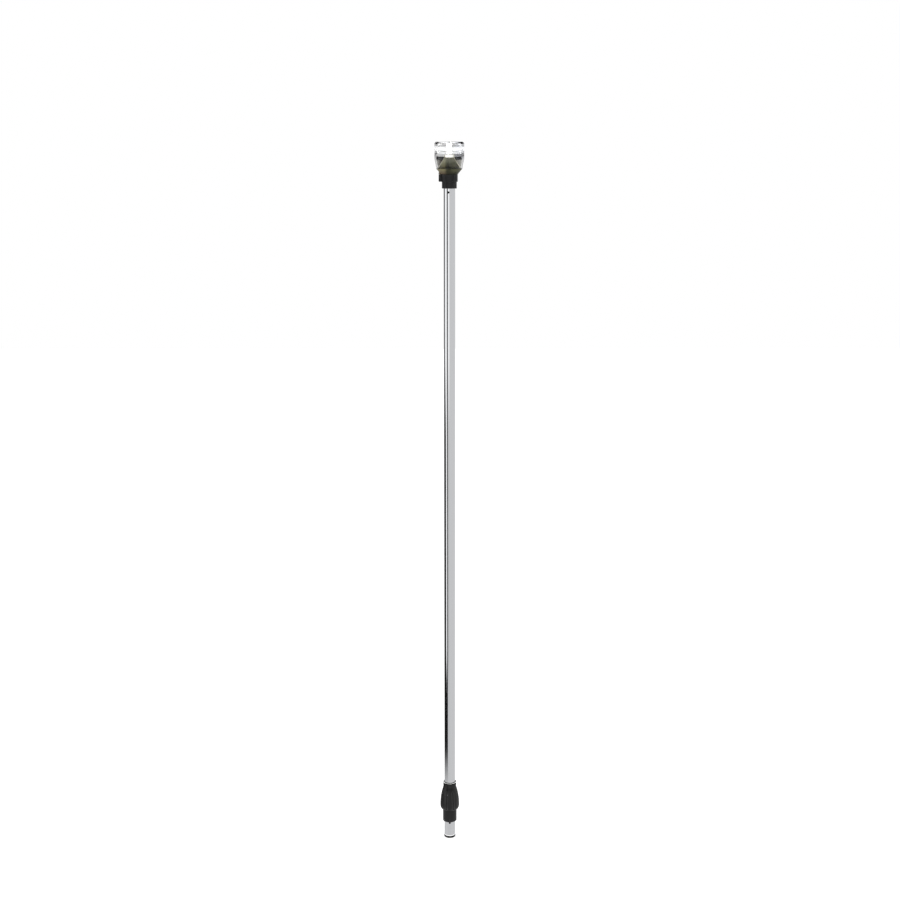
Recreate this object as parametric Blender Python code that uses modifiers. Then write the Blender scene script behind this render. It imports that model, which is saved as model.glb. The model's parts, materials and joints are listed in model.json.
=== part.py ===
"""All-round navigation light on a plug-in pole, with a locking collar that slides on the pole.

Units are metres and +Z is up. The origin is the centre of the plug's end face, at the
foot of the pole. The index pin faces -Y, and angles round the pole are counted from
there towards +X.
"""

import math

import bmesh
import bpy
from mathutils import Matrix, Vector
from mathutils.geometry import interpolate_bezier

MM = 0.001

# Overall
TOTAL_LENGTH = 1219.2 * MM
GAP = 0.3 * MM  # between pieces that touch
FINE_GAP = 0.15 * MM  # round small shanks and rings
STEP = 0.06 * MM  # keeps two joined solids from sharing a plane
SIDES = 40  # facets round a large turned piece
SMALL_SIDES = 20  # facets round a small one

# Pole
POLE_RADIUS = 9.525 * MM
POLE_WALL = 1.25 * MM
POLE_BORE = POLE_RADIUS - POLE_WALL
INSERT_RADIUS = POLE_BORE - GAP  # plug and spigot inside the tube

# Heights of the head's pieces, from the top down
LENS_TOP = TOTAL_LENGTH
LENS_FOOT = LENS_TOP - 43.3 * MM
FUNNEL_RIM = LENS_FOOT - GAP
FUNNEL_FOOT = LENS_TOP - 52.0 * MM
BASE_TOP = FUNNEL_FOOT - GAP
NECK_TOP = LENS_TOP - 64.4 * MM
NECK_FOOT = LENS_TOP - 75.0 * MM
POLE_TOP = NECK_FOOT + 15.4 * MM
SPIGOT_FOOT = NECK_FOOT - 14.6 * MM

# Lens
LENS_RADIUS = 24.2 * MM
LENS_WALL = 2.2 * MM
LENS_CORNER = 2.0 * MM
LENS_DOME = 0.5 * MM
LENS_ROOF = 2.6 * MM
LENS_FOOT_RADIUS = 21.2 * MM
TAPER_TOP = LENS_TOP - 27.5 * MM
TAPER_FOOT = LENS_FOOT + 2.4 * MM
BELT_Z = LENS_TOP - 11.7 * MM  # middle of the lit belt
BELT_HALF = 3.4 * MM
BELT_BULGE = 1.4 * MM
PRISM_COUNT = 2  # prism rings above the belt, and as many below
PRISM_PITCH = 2.6 * MM
PRISM_DEPTH = 0.8 * MM

# LED pedestal, a foot and a funnel, and the four-sided tower on it
FUNNEL_RADIUS = 21.2 * MM
FOOT_RADIUS = 14.7 * MM
FOOT_THICKNESS = 0.9 * MM
LOCATING_LIP = 1.8 * MM
LENS_GASKET_RADIUS = LENS_FOOT_RADIUS - LENS_WALL / 2
LENS_GASKET_GROOVE = 1.0 * MM
TOWER_FOOT_RADIUS = 18.3 * MM
TOWER_TOP_RADIUS = 8.0 * MM
TOWER_TOP = LENS_TOP - 19.4 * MM
TOWER_SHOULDER = LENS_TOP - 24.6 * MM  # its sides are upright above this
TOWER_EDGE = 0.7 * MM
EAR_HEIGHT = 3.0 * MM
PEDESTAL_SPIGOT_RADIUS = 8.5 * MM
PEDESTAL_SPIGOT = 1.9 * MM
TOWER_SPIGOT_RADIUS = 4.0 * MM
TOWER_SPIGOT = 2.0 * MM
LEAD_BORE = 2.6 * MM

# LED board, post and chips
BOARD_RADIUS = 5.6 * MM
BOARD_THICKNESS = 1.0 * MM
POST_SIDE = 5.0 * MM
POST_HEIGHT = 12.0 * MM
CHIP_COUNT = 4
CHIP_WIDTH = 3.2 * MM
CHIP_HEIGHT = 5.0 * MM
CHIP_THICKNESS = 0.9 * MM

# Light shield: an open plate round the tower
SHIELD_RADIUS = 21.2 * MM
SHIELD_THICKNESS = 5.6 * MM
SHIELD_HOLE_RADIUS = 11.3 * MM
SHIELD_Z = LENS_TOP - 26.0 * MM
SHIELD_OPENING = math.radians(124)

# Head base
KNUCKLE_RADIUS = 13.8 * MM
NECK_RADIUS = 12.2 * MM
POCKET_RADIUS = 8.8 * MM
POCKET_FLOOR = BASE_TOP - 3.9 * MM
WIRE_BORE = 4.5 * MM
LOBE_COUNT = 3
LOBE_FIRST_ANGLE = math.radians(-80)
LOBE_CENTRE = 14.4 * MM
LOBE_RADIUS = 3.3 * MM
LOBE_FOOT = NECK_TOP + 0.2 * MM
LOBE_ROUNDING = 1.1 * MM
LOBE_SIDES = 18
BASE_GASKET_RADIUS = 10.2 * MM
BASE_GASKET_GROOVE = 1.1 * MM

# Pedestal screws, driven up through the lobes
SCREW_RADIUS = 0.95 * MM
SCREW_HOLE = 1.2 * MM
SCREW_HEAD_RADIUS = 2.0 * MM
SCREW_HEAD_HEIGHT = 1.5 * MM
COUNTERBORE_RADIUS = 2.3 * MM
COUNTERBORE_DEPTH = 3.6 * MM
SCREW_REACH = 4.6 * MM  # above the lobe's top

# Head screw, through the pole into the spigot
HEAD_SCREW_Z = NECK_FOOT - 6.1 * MM
HEAD_SCREW_ANGLE = math.radians(-7.5)
HEAD_SCREW_HEAD = 1.75 * MM
HEAD_SCREW_PROUD = 1.0 * MM
HEAD_SCREW_TIP = 5.6 * MM  # distance of its tip from the pole's axis

# Plug at the pole's foot
FLANGE_HEIGHT = 3.2 * MM
FLANGE_RADIUS = 9.9 * MM
PLUG_TOP = 40.0 * MM
PLUG_SEAL_Z = 35.0 * MM
PLUG_SEAL_ROOT = 7.1 * MM
CONTACT_OFFSET = 4.2 * MM
CONTACT_BORE = 1.7 * MM
CONTACT_RADIUS = 1.45 * MM
CONTACT_HOLE = 0.8 * MM
CONTACT_FOOT = 0.6 * MM
CONTACT_TOP = 30.0 * MM
PIN_RADIUS = 1.7 * MM
PIN_TIP = 10.9 * MM
PIN_ROOT = 4.8 * MM

# Wires
WIRE_RADIUS = 0.95 * MM
WIRE_SPACING = 1.5 * MM  # of each wire from the pole's axis
WIRE_BEND = 22.0 * MM
LEAD_RADIUS = 0.5 * MM
LEAD_OFFSET = 1.2 * MM

# Locking collar
COLLAR_FOOT = 31.0 * MM
COLLAR_TOP = 104.6 * MM
COLLAR_BORE = 10.8 * MM
COLLAR_LIP_BORE = 10.1 * MM
COLLAR_LIP = 4.5 * MM
SKIRT_RADIUS = 12.2 * MM
SKIRT_TOP = 53.0 * MM
WAIST_RADIUS = 16.8 * MM
WAIST_Z = 60.8 * MM
FLARE_TOP = 95.5 * MM
FLARE_RADIUS = 11.4 * MM
RIM_RADIUS = 11.7 * MM
RIB_COUNT = 8
GROOVE_RADIUS = 2.6 * MM
GROOVE_DEPTH = 1.1 * MM
GROOVE_TOP = 90.0 * MM
GROOVE_FOOT = 57.4 * MM
LUG_LENGTH = 5.0 * MM
LUG_HEIGHT = 2.4 * MM
LUG_REACH = 10.1 * MM
LUG_Z = 34.3 * MM
BUSH_RADIUS = 10.5 * MM
BUSH_BORE = POLE_RADIUS + GAP
BUSH_FOOT = 48.0 * MM
SEAL_THICKNESS = 1.5 * MM

PART_COLLECTION = "navigation_light"
CUTTER_COLLECTION = "cutters"


def clear_scene():
    for obj in list(bpy.data.objects):
        bpy.data.objects.remove(obj)


def new_collection(name):
    collection = bpy.data.collections.new(name)
    bpy.context.scene.collection.children.link(collection)
    return collection


def add_object(name, data, material=None):
    """A part when it has a material, and a cutter when it has none."""
    obj = bpy.data.objects.new(name, data)
    if material is None:
        cutters.objects.link(obj)
        obj.hide_render = True
        obj.display_type = "WIRE"
    else:
        parts.objects.link(obj)
        data.materials.append(paint(name, material))
    return obj


def paint(name, finish):
    """A material of the object's own, from one of the finishes."""
    colour, roughness, metallic, alpha = finish
    material = bpy.data.materials.new(name)
    material.use_nodes = True
    shader = material.node_tree.nodes["Principled BSDF"]
    shader.inputs["Base Color"].default_value = (*colour, 1.0)
    shader.inputs["Roughness"].default_value = roughness
    shader.inputs["Metallic"].default_value = metallic
    shader.inputs["Alpha"].default_value = alpha
    material.diffuse_color = (*colour, alpha)
    return material


# Finishes: colour, roughness, metallic, alpha
CLEAR = ((0.95, 0.97, 0.98), 0.05, 0.0, 0.3)
BLACK_PLASTIC = ((0.02, 0.02, 0.021), 0.45, 0.0, 1.0)
RIBBED_PLASTIC = ((0.025, 0.025, 0.026), 0.6, 0.0, 1.0)
OLIVE_PLASTIC = ((0.13, 0.13, 0.07), 0.35, 0.0, 1.0)
NYLON = ((0.55, 0.54, 0.5), 0.5, 0.0, 1.0)
RUBBER = ((0.015, 0.015, 0.015), 0.8, 0.0, 1.0)
ALUMINIUM = ((0.82, 0.83, 0.85), 0.18, 1.0, 1.0)
STEEL = ((0.7, 0.7, 0.7), 0.25, 1.0, 1.0)
BRASS = ((0.78, 0.57, 0.22), 0.3, 1.0, 1.0)
WHITE_CERAMIC = ((0.9, 0.9, 0.88), 0.4, 0.0, 1.0)
PHOSPHOR = ((0.95, 0.88, 0.45), 0.4, 0.0, 1.0)
CIRCUIT_GREEN = ((0.03, 0.18, 0.06), 0.4, 0.0, 1.0)
RED_WIRE = ((0.55, 0.02, 0.02), 0.4, 0.0, 1.0)
BLACK_WIRE = ((0.02, 0.02, 0.02), 0.4, 0.0, 1.0)


def place(angle, radius, z=0.0):
    """A point at an angle round the pole, counted from the front towards +X."""
    return Vector((radius * math.sin(angle), -radius * math.cos(angle), z))


def arc(centre_x, centre_z, radius_x, radius_z, start, end, steps):
    """Points of an elliptic arc, with its angles in degrees, counted from +X towards +Z."""
    points = []
    for i in range(steps + 1):
        angle = math.radians(start + (end - start) * i / steps)
        x = centre_x + radius_x * math.cos(angle)
        points.append((x, centre_z + radius_z * math.sin(angle)))
    return points


def turned(name, profile, material=None, sides=SIDES, closed=True):
    """A profile of (radius, height) points turned about Z. It runs down the outer side.

    A closed profile makes a ring or a tube. An open one starts and ends on the axis.
    """
    mesh = bpy.data.meshes.new(name)
    points = [(radius, 0.0, height) for radius, height in profile]
    edges = [(i, i + 1) for i in range(len(points) - 1)]
    if closed:
        edges.append((len(points) - 1, 0))
    mesh.from_pydata(points, edges, [])
    obj = add_object(name, mesh, material)
    screw = obj.modifiers.new("Turn", "SCREW")
    screw.steps = sides
    screw.render_steps = sides
    screw.use_merge_vertices = True
    screw.merge_threshold = 0.01 * MM
    screw.use_smooth_shade = True
    return obj


def ring(name, major, minor, z, material, sides=SIDES, section_sides=8):
    """A round-section ring, such as an O-ring."""
    step = 360 / section_sides
    profile = arc(major, z, minor, minor, 90, 90 - 360 + step, section_sides - 1)
    return turned(name, profile, material, sides)


def ring_section(groove_depth, cover_gap):
    """The section radius of a ring in a groove, a fine gap short of its floor and its cover."""
    return (groove_depth + cover_gap) / 2 - FINE_GAP


def from_bmesh(name, bm, material=None):
    mesh = bpy.data.meshes.new(name)
    bm.to_mesh(mesh)
    bm.free()
    mesh.shade_smooth()
    mesh.set_sharp_from_angle(angle=math.radians(30))
    return add_object(name, mesh, material)


def cylinder(name, radius, low, high, material=None, sides=SMALL_SIDES, centre=(0, 0)):
    """An upright cylinder between two heights, with a flat and not an edge towards +Y."""
    bm = bmesh.new()
    middle = Vector((centre[0], centre[1], (low + high) / 2))
    half_facet = Matrix.Rotation(math.pi / sides, 4, "Z")
    bmesh.ops.create_cone(
        bm,
        cap_ends=True,
        segments=sides,
        radius1=radius,
        radius2=radius,
        depth=high - low,
        matrix=Matrix.Translation(middle) @ half_facet,
    )
    return from_bmesh(name, bm, material)


def block(name, size, location, turn=0.0, material=None):
    """A box of a size, centred on its location and turned about Z."""
    bm = bmesh.new()
    bmesh.ops.create_cube(bm, size=1.0, matrix=Matrix.Diagonal((*size, 1.0)))
    obj = from_bmesh(name, bm, material)
    obj.location = location
    obj.rotation_euler.z = turn
    return obj


def point_outwards(obj, angle, z):
    """Lays a piece modelled along +Z on its side, pointing out from the pole's axis."""
    obj.location = (0.0, 0.0, z)
    obj.rotation_euler = (math.radians(90), 0.0, angle)


def combine(obj, tool, operation):
    modifier = obj.modifiers.new(tool.name, "BOOLEAN")
    modifier.operation = operation
    modifier.solver = "EXACT"
    modifier.object = tool


def cut(obj, *tools):
    for tool in tools:
        combine(obj, tool, "DIFFERENCE")


def add(obj, *tools):
    for tool in tools:
        combine(obj, tool, "UNION")


def wire(name, points, radius, material):
    """A wire as a curve with filled ends."""
    curve = bpy.data.curves.new(name, "CURVE")
    curve.dimensions = "3D"
    curve.bevel_depth = radius
    curve.bevel_resolution = 2
    curve.use_fill_caps = True
    spline = curve.splines.new("POLY")
    spline.points.add(len(points) - 1)
    for spline_point, point in zip(spline.points, points):
        spline_point.co = (*point, 1.0)
    return add_object(name, curve, material)


def mesh_of_curve(obj):
    """Swaps a curve for a welded mesh, and returns that mesh."""
    bpy.context.view_layer.update()
    evaluated = obj.evaluated_get(bpy.context.evaluated_depsgraph_get())
    mesh = bpy.data.meshes.new_from_object(evaluated)
    bm = bmesh.new()
    bm.from_mesh(mesh)
    bmesh.ops.remove_doubles(bm, verts=bm.verts, dist=0.001 * MM)
    bm.to_mesh(mesh)
    bm.free()
    bpy.data.objects.remove(obj)
    return mesh


def lobe_angles():
    return [LOBE_FIRST_ANGLE + i * math.tau / LOBE_COUNT for i in range(LOBE_COUNT)]


# Head ------------------------------------------------------------------------------


def prism_rings(first_z, last_side):
    """The saw-tooth inner wall above or below the belt, from its low end upwards."""
    inner = LENS_RADIUS - LENS_WALL
    points = []
    for i in range(PRISM_COUNT):
        low = first_z + i * PRISM_PITCH
        high = low + PRISM_PITCH
        if last_side == "above":
            points += [(inner - PRISM_DEPTH, low + 0.2 * MM), (inner, high)]
        else:
            points += [(inner, low), (inner - PRISM_DEPTH, high - 0.2 * MM)]
    return points


def make_lens():
    """The clear drum: closed on top, with a lit belt and prism rings on its inner wall."""
    inner = LENS_RADIUS - LENS_WALL
    shoulder = LENS_TOP - LENS_DOME - LENS_CORNER
    ceiling = LENS_TOP - LENS_ROOF
    prism_span = PRISM_COUNT * PRISM_PITCH
    belt_low = BELT_Z - BELT_HALF
    belt_high = BELT_Z + BELT_HALF
    profile = [(0.0, LENS_TOP)]
    profile += arc(LENS_RADIUS - LENS_CORNER, shoulder, LENS_CORNER, LENS_CORNER, 90, 0, 3)
    profile += [
        (LENS_RADIUS, TAPER_TOP),
        (LENS_FOOT_RADIUS + 0.3 * MM, TAPER_FOOT),
        (LENS_FOOT_RADIUS, LENS_FOOT),
        (LENS_FOOT_RADIUS - LENS_WALL, LENS_FOOT),
        (LENS_FOOT_RADIUS - LENS_WALL + 0.3 * MM, TAPER_FOOT),
        (inner, TAPER_TOP),
    ]
    profile += prism_rings(belt_low - prism_span - 0.1 * MM, "below")
    profile += arc(inner, BELT_Z, -BELT_BULGE, BELT_HALF, -90, 90, 6)
    profile += prism_rings(belt_high + 0.1 * MM, "above")
    profile += [(inner - 0.6 * MM, ceiling), (0.0, ceiling)]
    return turned("lens", profile, CLEAR, closed=False)


def make_lens_gasket():
    section = ring_section(LENS_GASKET_GROOVE, GAP)
    z = FUNNEL_RIM - LENS_GASKET_GROOVE + FINE_GAP + section
    return ring("lens_gasket", LENS_GASKET_RADIUS, section, z, RUBBER, section_sides=6)


def make_pedestal():
    """The moulding that carries the LEDs, with a funnel that seats the lens."""
    lip_radius = LENS_FOOT_RADIUS - LENS_WALL - GAP
    groove_half = ring_section(LENS_GASKET_GROOVE, GAP) + FINE_GAP
    groove_inner = LENS_GASKET_RADIUS - groove_half
    groove_outer = LENS_GASKET_RADIUS + groove_half
    groove_floor = FUNNEL_RIM - LENS_GASKET_GROOVE
    spigot_foot = FUNNEL_FOOT - PEDESTAL_SPIGOT
    cavity = PEDESTAL_SPIGOT_RADIUS - 1.6 * MM
    cavity_top = FUNNEL_RIM - 1.6 * MM
    profile = [
        (0.0, FUNNEL_RIM + LOCATING_LIP),
        (lip_radius, FUNNEL_RIM + LOCATING_LIP),
        (lip_radius, FUNNEL_RIM),
        (groove_inner, FUNNEL_RIM),
        (groove_inner, groove_floor),
        (groove_outer, groove_floor),
        (groove_outer, FUNNEL_RIM),
        (FUNNEL_RADIUS, FUNNEL_RIM),
        (FOOT_RADIUS, FUNNEL_FOOT + FOOT_THICKNESS),
        (FOOT_RADIUS, FUNNEL_FOOT),
        (PEDESTAL_SPIGOT_RADIUS, FUNNEL_FOOT),
        (PEDESTAL_SPIGOT_RADIUS, spigot_foot),
        (cavity, spigot_foot),
        (cavity, FUNNEL_FOOT + 2.0 * MM),
        (4.0 * MM, cavity_top),
        (0.0, cavity_top),
    ]
    pedestal = turned("led_pedestal", profile, OLIVE_PLASTIC, closed=False)
    seat_radius = TOWER_SPIGOT_RADIUS + FINE_GAP
    seat_top = FUNNEL_RIM + LOCATING_LIP + MM
    cut(pedestal, cylinder("tower_seat_tool", seat_radius, cavity_top - MM, seat_top))

    for i, angle in enumerate(lobe_angles(), 1):
        centre = place(angle, LOBE_CENTRE)
        low = FUNNEL_FOOT - STEP
        high = FUNNEL_FOOT + EAR_HEIGHT
        ear = cylinder(f"ear_tool_{i}", LOBE_RADIUS, low, high, sides=LOBE_SIDES, centre=centre)
        add(pedestal, ear)
    for i, angle in enumerate(lobe_angles(), 1):
        centre = place(angle, LOBE_CENTRE)
        top = BASE_TOP + SCREW_REACH + GAP
        pilot = cylinder(
            f"pilot_tool_{i}", SCREW_RADIUS + FINE_GAP, FUNNEL_FOOT - MM, top, sides=12, centre=centre
        )
        cut(pedestal, pilot)


def make_tower():
    """The hollow four-sided tower that lifts the LEDs, with a spigot in the pedestal."""
    low = FUNNEL_RIM + LOCATING_LIP + GAP
    spigot_foot = low - TOWER_SPIGOT
    bm = bmesh.new()
    bmesh.ops.create_cone(
        bm,
        cap_ends=True,
        segments=4,
        radius1=TOWER_FOOT_RADIUS,
        radius2=TOWER_TOP_RADIUS,
        depth=TOWER_SHOULDER - low,
        matrix=Matrix.Translation((0.0, 0.0, (TOWER_SHOULDER + low) / 2)),
    )
    top = max(bm.faces, key=lambda face: face.calc_center_median().z)
    raised = bmesh.ops.extrude_face_region(bm, geom=[top])["geom"]
    raised = [item for item in raised if isinstance(item, bmesh.types.BMVert)]
    bmesh.ops.delete(bm, geom=[top], context="FACES_ONLY")
    bmesh.ops.translate(bm, verts=raised, vec=(0.0, 0.0, TOWER_TOP - TOWER_SHOULDER))
    sloped = [e for e in bm.edges if abs(e.verts[0].co.z - e.verts[1].co.z) > MM]
    bmesh.ops.bevel(
        bm, geom=sloped, offset=TOWER_EDGE, segments=2, profile=0.5, affect="EDGES"
    )
    tower = from_bmesh("led_tower", bm, OLIVE_PLASTIC)
    add(tower, cylinder("tower_spigot_tool", TOWER_SPIGOT_RADIUS, spigot_foot, low + MM))
    cut(tower, cylinder("lead_bore_tool", LEAD_BORE, spigot_foot - MM, TOWER_TOP + MM))


def make_light_shield():
    """A flat plate round the tower that is open at the front."""
    low = SHIELD_Z - SHIELD_THICKNESS / 2
    high = SHIELD_Z + SHIELD_THICKNESS / 2
    outline = bpy.data.curves.new("light_shield", "CURVE")
    outline.dimensions = "2D"
    outline.fill_mode = "BOTH"
    outline.extrude = SHIELD_THICKNESS / 2
    start = SHIELD_OPENING / 2
    sweep = math.tau - SHIELD_OPENING
    steps = 30
    outer = [place(start + sweep * i / steps, SHIELD_RADIUS) for i in range(steps + 1)]
    inner = [place(start + sweep * i / steps, SHIELD_HOLE_RADIUS) for i in range(steps, -1, -1)]
    spline = outline.splines.new("POLY")
    spline.points.add(len(outer + inner) - 1)
    for spline_point, point in zip(spline.points, outer + inner):
        spline_point.co = (point.x, point.y, 0.0, 1.0)
    spline.use_cyclic_u = True
    shield = add_object("light_shield", outline, BLACK_PLASTIC)
    shield.location.z = (low + high) / 2
    return shield


def make_leds():
    """The board on the tower, and the post with a chip on each side."""
    board_low = TOWER_TOP + GAP
    board_high = board_low + BOARD_THICKNESS
    cylinder("led_board", BOARD_RADIUS, board_low, board_high, WHITE_CERAMIC, sides=24)
    post_low = board_high + GAP
    post_z = post_low + POST_HEIGHT / 2
    block("led_post", (POST_SIDE, POST_SIDE, POST_HEIGHT), (0, 0, post_z), material=WHITE_CERAMIC)
    for i in range(CHIP_COUNT):
        angle = i * math.tau / CHIP_COUNT
        distance = POST_SIDE / 2 + FINE_GAP + CHIP_THICKNESS / 2
        size = (CHIP_WIDTH, CHIP_THICKNESS, CHIP_HEIGHT)
        block(f"led_chip_{i + 1}", size, place(angle, distance, BELT_Z), angle, PHOSPHOR)


def make_leads():
    """The two short leads from the driver board up the tower to the LED board."""
    low = POCKET_FLOOR + GAP + 1.2 * MM + GAP
    high = TOWER_TOP
    for name, side, colour in (("led_lead_red", 1, RED_WIRE), ("led_lead_black", -1, BLACK_WIRE)):
        x = side * LEAD_OFFSET
        wire(name, [(x, 0.0, low), (x, 0.0, (low + high) / 2), (x, 0.0, high)], LEAD_RADIUS, colour)


def make_driver_board():
    low = POCKET_FLOOR + GAP
    cylinder("driver_board", POCKET_RADIUS - GAP, low, low + 1.2 * MM, CIRCUIT_GREEN, sides=32)


def make_head_base():
    """The black knuckle with its neck round the pole and its spigot inside the pole."""
    groove_top = POLE_TOP + GAP + SEAL_THICKNESS
    neck_bore = POLE_RADIUS + GAP
    gasket_half = ring_section(BASE_GASKET_GROOVE, GAP) + FINE_GAP
    gasket_inner = BASE_GASKET_RADIUS - gasket_half
    gasket_outer = BASE_GASKET_RADIUS + gasket_half
    gasket_floor = BASE_TOP - BASE_GASKET_GROOVE
    profile = [
        (KNUCKLE_RADIUS - 0.4 * MM, BASE_TOP),
        (KNUCKLE_RADIUS, BASE_TOP - 0.4 * MM),
    ]
    profile += arc(
        KNUCKLE_RADIUS - 1.0 * MM, NECK_TOP + 1.0 * MM, 1.0 * MM, 1.0 * MM, 0, -90, 3
    )
    profile += [
        (NECK_RADIUS, NECK_TOP),
        (NECK_RADIUS, NECK_FOOT + 0.4 * MM),
        (NECK_RADIUS - 0.4 * MM, NECK_FOOT),
        (neck_bore, NECK_FOOT),
        (neck_bore, groove_top),
        (INSERT_RADIUS, groove_top),
        (INSERT_RADIUS, SPIGOT_FOOT + 0.6 * MM),
        (INSERT_RADIUS - 0.6 * MM, SPIGOT_FOOT),
        (WIRE_BORE, SPIGOT_FOOT),
        (WIRE_BORE, POCKET_FLOOR),
        (POCKET_RADIUS, POCKET_FLOOR),
        (POCKET_RADIUS, BASE_TOP),
        (gasket_inner, BASE_TOP),
        (gasket_inner, gasket_floor),
        (gasket_outer, gasket_floor),
        (gasket_outer, BASE_TOP),
    ]
    base = turned("head_base", profile, BLACK_PLASTIC)

    for i, angle in enumerate(lobe_angles(), 1):
        centre = place(angle, LOBE_CENTRE)
        top = BASE_TOP + STEP - LOBE_FOOT
        shape = [(0.0, top), (LOBE_RADIUS, top)]
        corner = LOBE_RADIUS - LOBE_ROUNDING
        shape += arc(corner, LOBE_ROUNDING, LOBE_ROUNDING, LOBE_ROUNDING, 0, -90, 3)
        shape += [(0.0, 0.0)]
        lobe = turned(f"lobe_tool_{i}", shape, sides=LOBE_SIDES, closed=False)
        lobe.location = (centre.x, centre.y, LOBE_FOOT)
        add(base, lobe)
    for i, angle in enumerate(lobe_angles(), 1):
        centre = place(angle, LOBE_CENTRE)
        hole = cylinder(f"hole_tool_{i}", SCREW_HOLE, LOBE_FOOT, BASE_TOP + MM, sides=12, centre=centre)
        recess_top = LOBE_FOOT + COUNTERBORE_DEPTH
        recess = cylinder(
            f"recess_tool_{i}", COUNTERBORE_RADIUS, LOBE_FOOT - MM, recess_top, sides=16, centre=centre
        )
        cut(base, hole, recess)

    pilot_radius = SCREW_RADIUS + FINE_GAP
    pilot = cylinder("head_pilot_tool", pilot_radius, HEAD_SCREW_TIP - GAP, POLE_RADIUS, sides=12)
    point_outwards(pilot, HEAD_SCREW_ANGLE, HEAD_SCREW_Z)
    cut(base, pilot)


def make_base_gasket():
    section = ring_section(BASE_GASKET_GROOVE, GAP)
    z = BASE_TOP - BASE_GASKET_GROOVE + FINE_GAP + section
    return ring("base_gasket", BASE_GASKET_RADIUS, section, z, RUBBER, section_sides=6)


def screw_profile(head_radius, head_height, length):
    """A pan-head screw that stands on its head: the head's top is at height 0, the tip above."""
    return [
        (0.0, length),
        (SCREW_RADIUS * 0.45, length),
        (SCREW_RADIUS, length - 1.2 * MM),
        (SCREW_RADIUS, head_height),
        (head_radius, head_height),
        (head_radius, head_height * 0.45),
        (head_radius * 0.7, 0.0),
        (0.0, 0.0),
    ]


def make_pedestal_screws():
    seat = LOBE_FOOT + COUNTERBORE_DEPTH - GAP
    low = seat - SCREW_HEAD_HEIGHT
    length = BASE_TOP + SCREW_REACH - low
    for i, angle in enumerate(lobe_angles(), 1):
        profile = screw_profile(SCREW_HEAD_RADIUS, SCREW_HEAD_HEIGHT, length)
        screw = turned(f"pedestal_screw_{i}", profile, STEEL, sides=12, closed=False)
        screw.location = place(angle, LOBE_CENTRE, low)


def make_head_screw():
    """The screw in the pole's side, below the neck."""
    proud = POLE_RADIUS + FINE_GAP + HEAD_SCREW_PROUD
    profile = screw_profile(HEAD_SCREW_HEAD, HEAD_SCREW_PROUD, proud - HEAD_SCREW_TIP)
    profile = [(radius, proud - height) for radius, height in reversed(profile)]
    screw = turned("head_screw", profile, STEEL, sides=16, closed=False)
    point_outwards(screw, HEAD_SCREW_ANGLE, HEAD_SCREW_Z)


def make_pole_seal():
    low = POLE_TOP + GAP
    high = low + SEAL_THICKNESS - GAP
    inner = INSERT_RADIUS + FINE_GAP
    outer = POLE_RADIUS + FINE_GAP
    profile = [(outer, high), (outer, low), (inner, low), (inner, high)]
    return turned("pole_seal", profile, RUBBER)


# Pole, wires and plug --------------------------------------------------------------


def make_pole():
    foot = FLANGE_HEIGHT + GAP
    profile = [
        (POLE_RADIUS, POLE_TOP),
        (POLE_RADIUS, foot),
        (POLE_BORE, foot),
        (POLE_BORE, POLE_TOP),
    ]
    pole = turned("pole_tube", profile, ALUMINIUM)
    screw_hole = cylinder("screw_hole_tool", SCREW_HOLE, 6.0 * MM, 12.0 * MM, sides=12)
    point_outwards(screw_hole, HEAD_SCREW_ANGLE, HEAD_SCREW_Z)
    pin_hole = cylinder("pin_hole_tool", PIN_RADIUS + FINE_GAP, 6.0 * MM, 12.0 * MM, sides=18)
    point_outwards(pin_hole, 0.0, pin_height())
    cut(pole, screw_hole, pin_hole)


def pin_height():
    """The index pin is the collar's lower stop, so it lies just under the collar's foot."""
    return COLLAR_FOOT - GAP - PIN_RADIUS


def make_wires():
    """The two wires inside the pole, from the contacts to the driver board."""
    low = CONTACT_TOP + GAP
    high = POCKET_FLOOR
    bend_top = PLUG_TOP + WIRE_BEND
    bend_steps = 6
    for name, side, colour in (("wire_red", 1, RED_WIRE), ("wire_black", -1, BLACK_WIRE)):
        points = [(side * CONTACT_OFFSET, 0.0, low)]
        for i in range(bend_steps + 1):
            share = i / bend_steps
            eased = (1 - math.cos(math.pi * share)) / 2
            x = CONTACT_OFFSET + (WIRE_SPACING - CONTACT_OFFSET) * eased
            points.append((side * x, 0.0, PLUG_TOP + (bend_top - PLUG_TOP) * share))
        points.append((side * WIRE_SPACING, 0.0, (bend_top + high) / 2))
        points.append((side * WIRE_SPACING, 0.0, high))
        wire(name, points, WIRE_RADIUS, colour)


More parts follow.
